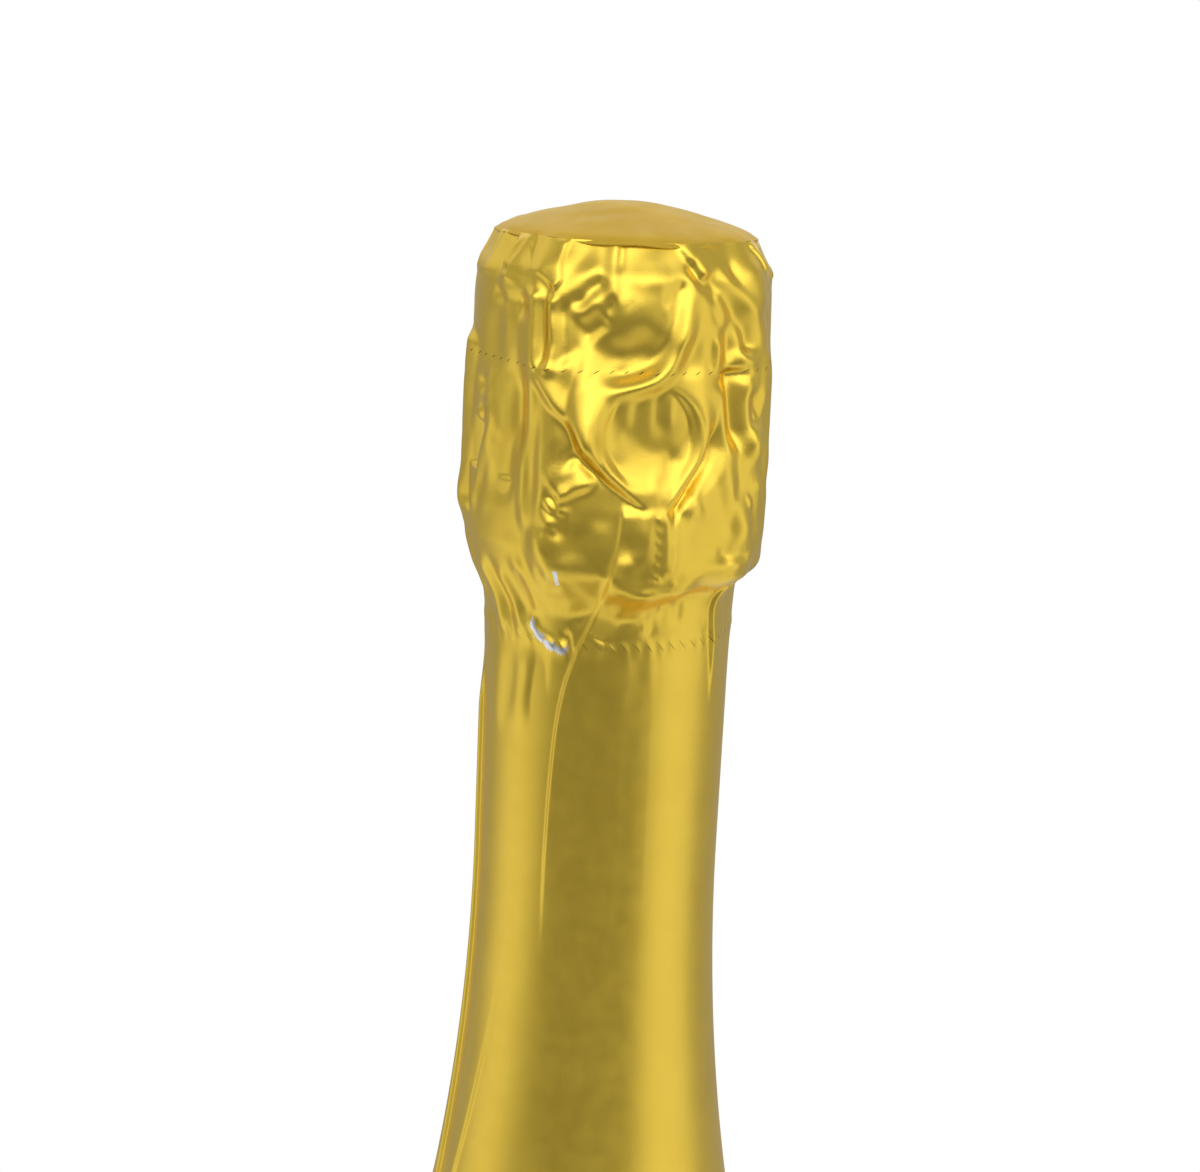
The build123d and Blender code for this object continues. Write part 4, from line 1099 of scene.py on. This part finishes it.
def wire_piece(name, lines, material, node, body):
    """Round wires along these middle lines, as one piece. Each line is (points, wire, closed)."""
    curve = bpy.data.curves.new(name, "CURVE")
    curve.dimensions = "3D"
    curve.bevel_depth = metres_per_mm / 2
    curve.bevel_resolution = 4
    curve.use_fill_caps = True
    for points, wire, closed in lines:
        spline = curve.splines.new("POLY")
        spline.points.add(len(points) - 1)
        spline.use_cyclic_u = closed
        for point, place in zip(spline.points, points):
            point.co = (*(np.array(place) * metres_per_mm), 1)
            point.radius = wire
    curve.materials.append(material)
    piece = bpy.data.objects.new(name, curve)
    bpy.context.collection.objects.link(piece)
    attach(piece, body)
    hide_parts(node)
    return piece


def wire_pieces(material):
    """The cap ring, legs, belt and twist loop."""
    up = Vector((0, 0, cap_ring_z))
    ring = circle(up, Vector((1, 0, 0)), Vector((0, 1, 0)), cap_ring_radius, cap_ring_points)
    wire_piece("cap_ring_wire", [(ring, cap_ring_wire, True)], material, "wire_cap_ring", "wire_hood")
    for number, leg in enumerate(legs, start=1):
        lines = [(line, leg_wire, False) for line in leg_strands(leg)]
        lines.append((leg_eye(leg), leg_wire, True))
        wire_piece(f"leg_{number}_wires", lines, material, f"wire_leg_{number}", "wire_hood")
    wire_piece("belt_wire", [(belt_line(), belt_wire, False)], material, "wire_belt", "wire_hood")
    lines = [(line, leg_wire, False) for line in tail_strands()]
    lines += [(loop_eye(), loop_wire, False), (knuckle_ends(), belt_wire, False)]
    wire_piece("twist_loop_wires", lines, material, "wire_twist_loop", "twist_loop")


# Materials

# Noise lies mostly between these two values
noise_low, noise_high = 0.3, 0.7
granules_per_metre = 620
# Where the floor turns white and where its rim fades, in metres from its middle
floor_white_start, floor_white_end = 0.06, 0.30
floor_rim_start, floor_rim_end = 0.16, 0.44
plain_white = (1, 1, 1, 1)


def new_material(name):
    """A material, its node tree, and the plain shader in it."""
    material = bpy.data.materials.new(name)
    material.use_nodes = True
    tree = material.node_tree
    return material, tree, tree.nodes["Principled BSDF"]


def set_inputs(tree, node, inputs):
    """Gives a node's inputs these values, or links them to these outputs of other nodes."""
    for name, value in inputs.items():
        if isinstance(value, bpy.types.NodeSocket):
            tree.links.new(value, node.inputs[name])
        else:
            node.inputs[name].default_value = value


def new_node(tree, kind, inputs, output, **settings):
    """This output of a new node with these settings and inputs."""
    node = tree.nodes.new("ShaderNode" + kind)
    for name, value in settings.items():
        setattr(node, name, value)
    set_inputs(tree, node, inputs)
    return node.outputs[output]


def noise(tree, scale, detail=3.0, stretch=(1, 1, 1), roughness=0.5):
    """Noise over the object, with this many spots per metre."""
    place = new_node(tree, "TexCoord", {}, "Object")
    place = new_node(tree, "Mapping", {"Vector": place, "Scale": stretch}, "Vector")
    inputs = {"Vector": place, "Scale": scale, "Detail": detail, "Roughness": roughness}
    return new_node(tree, "TexNoise", inputs, "Fac")


def ranged(tree, value, low, high):
    """Noise stretched to run from low to high."""
    inputs = {"Value": value, "From Min": noise_low, "From Max": noise_high, "To Min": low, "To Max": high}
    return new_node(tree, "MapRange", inputs, "Result")


def mixed(tree, value, one, other):
    """A colour between two, led by noise or another 0 to 1 value."""
    node = tree.nodes.new("ShaderNodeValToRGB")
    ramp = node.color_ramp.elements
    for element, position, colour in zip(ramp, (noise_low, noise_high), (one, other)):
        element.position = position
        element.color = (*colour, 1)
    set_inputs(tree, node, {"Fac": value})
    return node.outputs["Color"]


def shaded(tree, value, dark, colour):
    """The dark colour where a value is 0, and the other one where it is 1."""
    return new_node(tree, "Mix", {"Factor": value, "A": (*dark, 1), "B": colour}, "Result", data_type="RGBA")


def between(tree, value, low, high):
    """0 below the low value, 1 above the high one, and a soft step between them."""
    inputs = {"Value": value, "From Min": low, "From Max": high}
    return new_node(tree, "MapRange", inputs, "Result", interpolation_type="SMOOTHSTEP")


def joined(tree, operation, one, other):
    """Two values joined by an operation."""
    return new_node(tree, "Math", {0: one, 1: other}, "Value", operation=operation)


def blended(tree, share, one, other):
    """One shader where the share is 0, and the other one where it is 1."""
    return new_node(tree, "MixShader", {"Fac": share, 1: one, 2: other}, "Shader")


def seen_rays(tree, kinds):
    """1 for rays of any of these kinds."""
    path = tree.nodes.new("ShaderNodeLightPath")
    value = path.outputs[kinds[0]]
    for kind in kinds[1:]:
        value = joined(tree, "MAXIMUM", value, path.outputs[kind])
    return value


def bump(tree, height, distance):
    """The normal of fine relief this deep in metres."""
    return new_node(tree, "Bump", {"Distance": distance, "Height": height}, "Normal")


def foil_material(name, one, other, smoothest, roughest, grain):
    """Satin lacquered aluminium foil with a fine rolled grain."""
    material, tree, shader = new_material(name)
    set_inputs(tree, shader, {
        "Metallic": 1.0,
        "Base Color": mixed(tree, noise(tree, 140), one, other),
        "Roughness": ranged(tree, noise(tree, 420, 4), smoothest, roughest),
        "Normal": bump(tree, noise(tree, 5200, 2), grain),
    })
    return material


def steel_material():
    """Galvanised steel wire with a dull, spotted sheen."""
    material, tree, shader = new_material("galvanised_wire")
    set_inputs(tree, shader, {
        "Metallic": 1.0,
        "Base Color": mixed(tree, noise(tree, 900), (0.42, 0.42, 0.41), (0.6, 0.6, 0.58)),
        "Roughness": ranged(tree, noise(tree, 2500, 4), 0.22, 0.42),
        "Normal": bump(tree, noise(tree, 4000, 3), 0.00001),
    })
    return material


def glass_material():
    """Dark green glass, a little uneven in its colour and its surface."""
    material, tree, shader = new_material("dark_green_glass")
    set_inputs(tree, shader, {
        "Transmission Weight": 1.0,
        "IOR": 1.52,
        "Base Color": mixed(tree, noise(tree, 9), (0.085, 0.20, 0.035), (0.10, 0.23, 0.042)),
        "Roughness": ranged(tree, noise(tree, 60, 3), 0.02, 0.05),
        "Normal": bump(tree, noise(tree, 45, 2, (1, 1, 0.4)), 0.0002),
    })
    return material


def agglomerate_material():
    """Granules of cork pressed and glued together."""
    material, tree, shader = new_material("agglomerate_cork")
    place = new_node(tree, "TexCoord", {}, "Object")
    cells = {"Vector": place, "Scale": granules_per_metre}
    colour = new_node(tree, "TexVoronoi", cells, "Color")
    edge = new_node(tree, "TexVoronoi", cells, "Distance", feature="DISTANCE_TO_EDGE")
    shade = new_node(tree, "SeparateColor", {"Color": colour}, "Red")
    granules = mixed(tree, shade, (0.24, 0.13, 0.06), (0.56, 0.37, 0.20))
    joints = new_node(tree, "MapRange", {"Value": edge, "From Max": 0.06}, "Result")
    set_inputs(tree, shader, {
        "Base Color": shaded(tree, joints, (0.16, 0.085, 0.04), granules),
        "Roughness": 0.85,
        "Normal": bump(tree, joints, 0.0002),
    })
    return material


def natural_cork_material():
    """Whole cork in growth bands, pitted with small dark pores."""
    material, tree, shader = new_material("natural_cork")
    bands = mixed(tree, noise(tree, 260, 5, (1, 1, 3.5), 0.65), (0.38, 0.22, 0.11), (0.66, 0.46, 0.27))
    pores = noise(tree, 1300, 2, (1, 1, 0.5))
    pit = new_node(tree, "MapRange", {"Value": pores, "From Min": 0.34, "From Max": 0.42}, "Result")
    set_inputs(tree, shader, {
        "Base Color": shaded(tree, pit, (0.12, 0.06, 0.03), bands),
        "Roughness": 0.8,
        "Normal": bump(tree, pit, 0.00015),
    })
    return material


def floor_material():
    """Pale floor that keeps the object's shadow near it and turns to plain white further out.

    Its rim fades away for the metal and glass, so that they don't show where the floor ends.
    """
    material, tree, shader = new_material("pale_floor")
    set_inputs(tree, shader, {"Base Color": (0.9, 0.9, 0.9, 1), "Roughness": 0.9})
    place = new_node(tree, "TexCoord", {}, "Object")
    away = new_node(tree, "VectorMath", {0: place}, "Value", operation="LENGTH")
    far = between(tree, away, floor_white_start, floor_white_end)
    rim = between(tree, away, floor_rim_start, floor_rim_end)
    seen = seen_rays(tree, ("Is Camera Ray", "Is Glossy Ray", "Is Transmission Ray"))
    white = new_node(tree, "Emission", {"Strength": 1.0}, "Emission")
    nothing = new_node(tree, "BsdfTransparent", {}, "BSDF")
    shown = blended(tree, joined(tree, "MULTIPLY", far, seen), shader.outputs["BSDF"], white)
    gone = joined(tree, "MULTIPLY", rim, seen_rays(tree, ("Is Glossy Ray",)))
    whole = blended(tree, gone, shown, nothing)
    set_inputs(tree, tree.nodes["Material Output"], {"Surface": whole})
    return material


# Studio: soft zones of light by direction, the two dim ones where the photographer stood

floor_radius = 450.0
floor_corners = 96
studio_base = 0.38
studio_zones = [
    # azimuth, elevation, half angle, soft edge, level
    (180.0, 40.0, 38.0, 16.0, 0.94),
    (-86.0, -28.0, 19.0, 12.0, 0.92),
    (72.0, -14.0, 26.0, 12.0, 0.92),
    (118.0, 10.0, 14.0, 10.0, 0.5),
    (-36.0, 30.0, 16.0, 12.0, 1.3),
    (4.0, 32.0, 22.0, 12.0, 2.3),
    (46.0, 30.0, 18.0, 12.0, 1.7),
    (-112.0, 28.0, 16.0, 12.0, 0.85),
    (-8.0, -24.0, 34.0, 12.0, 0.225),
    (28.0, -24.0, 16.0, 10.0, 0.23),
]


def studio_world():
    """White behind the object, and soft zones of light round it, placed by direction."""
    world = bpy.data.worlds.new("studio")
    bpy.context.scene.world = world
    world.use_nodes = True
    tree = world.node_tree
    place = new_node(tree, "TexCoord", {}, "Generated")
    level = studio_base
    for azimuth, elevation, half, edge, strength in studio_zones:
        flat = math.cos(math.radians(elevation))
        towards = at(flat, azimuth, math.sin(math.radians(elevation)))
        outer, inner = (math.cos(math.radians(angle)) for angle in (half + edge, max(half - edge, 0)))
        facing = new_node(tree, "VectorMath", {0: place, 1: towards}, "Value", operation="DOT_PRODUCT")
        inside = between(tree, facing, outer, inner)
        level = new_node(tree, "Mix", {"Factor": inside, "A": level, "B": strength}, "Result")
    studio = tree.nodes["Background"]
    set_inputs(tree, studio, {"Strength": level, "Color": plain_white})
    white = new_node(tree, "Background", {"Strength": 1.0, "Color": plain_white}, "Background")
    seen = seen_rays(tree, ("Is Camera Ray", "Is Transmission Ray"))
    shown = blended(tree, seen, studio.outputs["Background"], white)
    set_inputs(tree, tree.nodes["World Output"], {"Surface": shown})


def floor():
    """A round pale floor under the bottle."""
    points = [at(floor_radius, 360 * i / floor_corners, 0) for i in range(floor_corners)]
    face = list(range(floor_corners))
    piece = mesh_object("floor", np.array(points), [face], [floor_material()], smooth=False)


def dress(node, material):
    """Gives a CAD node this material."""
    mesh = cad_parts[node].data
    mesh.materials.clear()
    mesh.materials.append(material)


def main():
    """Makes the camera, light and floor, gives the solids their materials, and adds the foil and wires."""
    bpy.context.scene.view_settings.view_transform = "Standard"
    photo_camera()
    studio_world()
    floor()
    gold = foil_material("satin_gold_foil", (0.86, 0.60, 0.075), (0.90, 0.64, 0.085), 0.32, 0.38, 0.000012)
    disc_gold = foil_material("matt_gold_foil", (0.66, 0.43, 0.04), (0.74, 0.49, 0.05), 0.44, 0.52, 0.00002)
    silver = foil_material("silver_foil_back", (0.80, 0.80, 0.80), (0.86, 0.86, 0.86), 0.25, 0.35, 0.000012)
    foil_pieces(gold, disc_gold, silver)
    dress("glass_bottle", glass_material())
    dress("cork_body", agglomerate_material())
    natural = natural_cork_material()
    dress("cork_disc_upper", natural)
    dress("cork_disc_lower", natural)
    gilt = foil_material("gilt_tinplate", (0.78, 0.56, 0.16), (0.84, 0.62, 0.2), 0.18, 0.3, 0.000006)
    dress("plaque", gilt)
    wire_pieces(steel_material())


main()
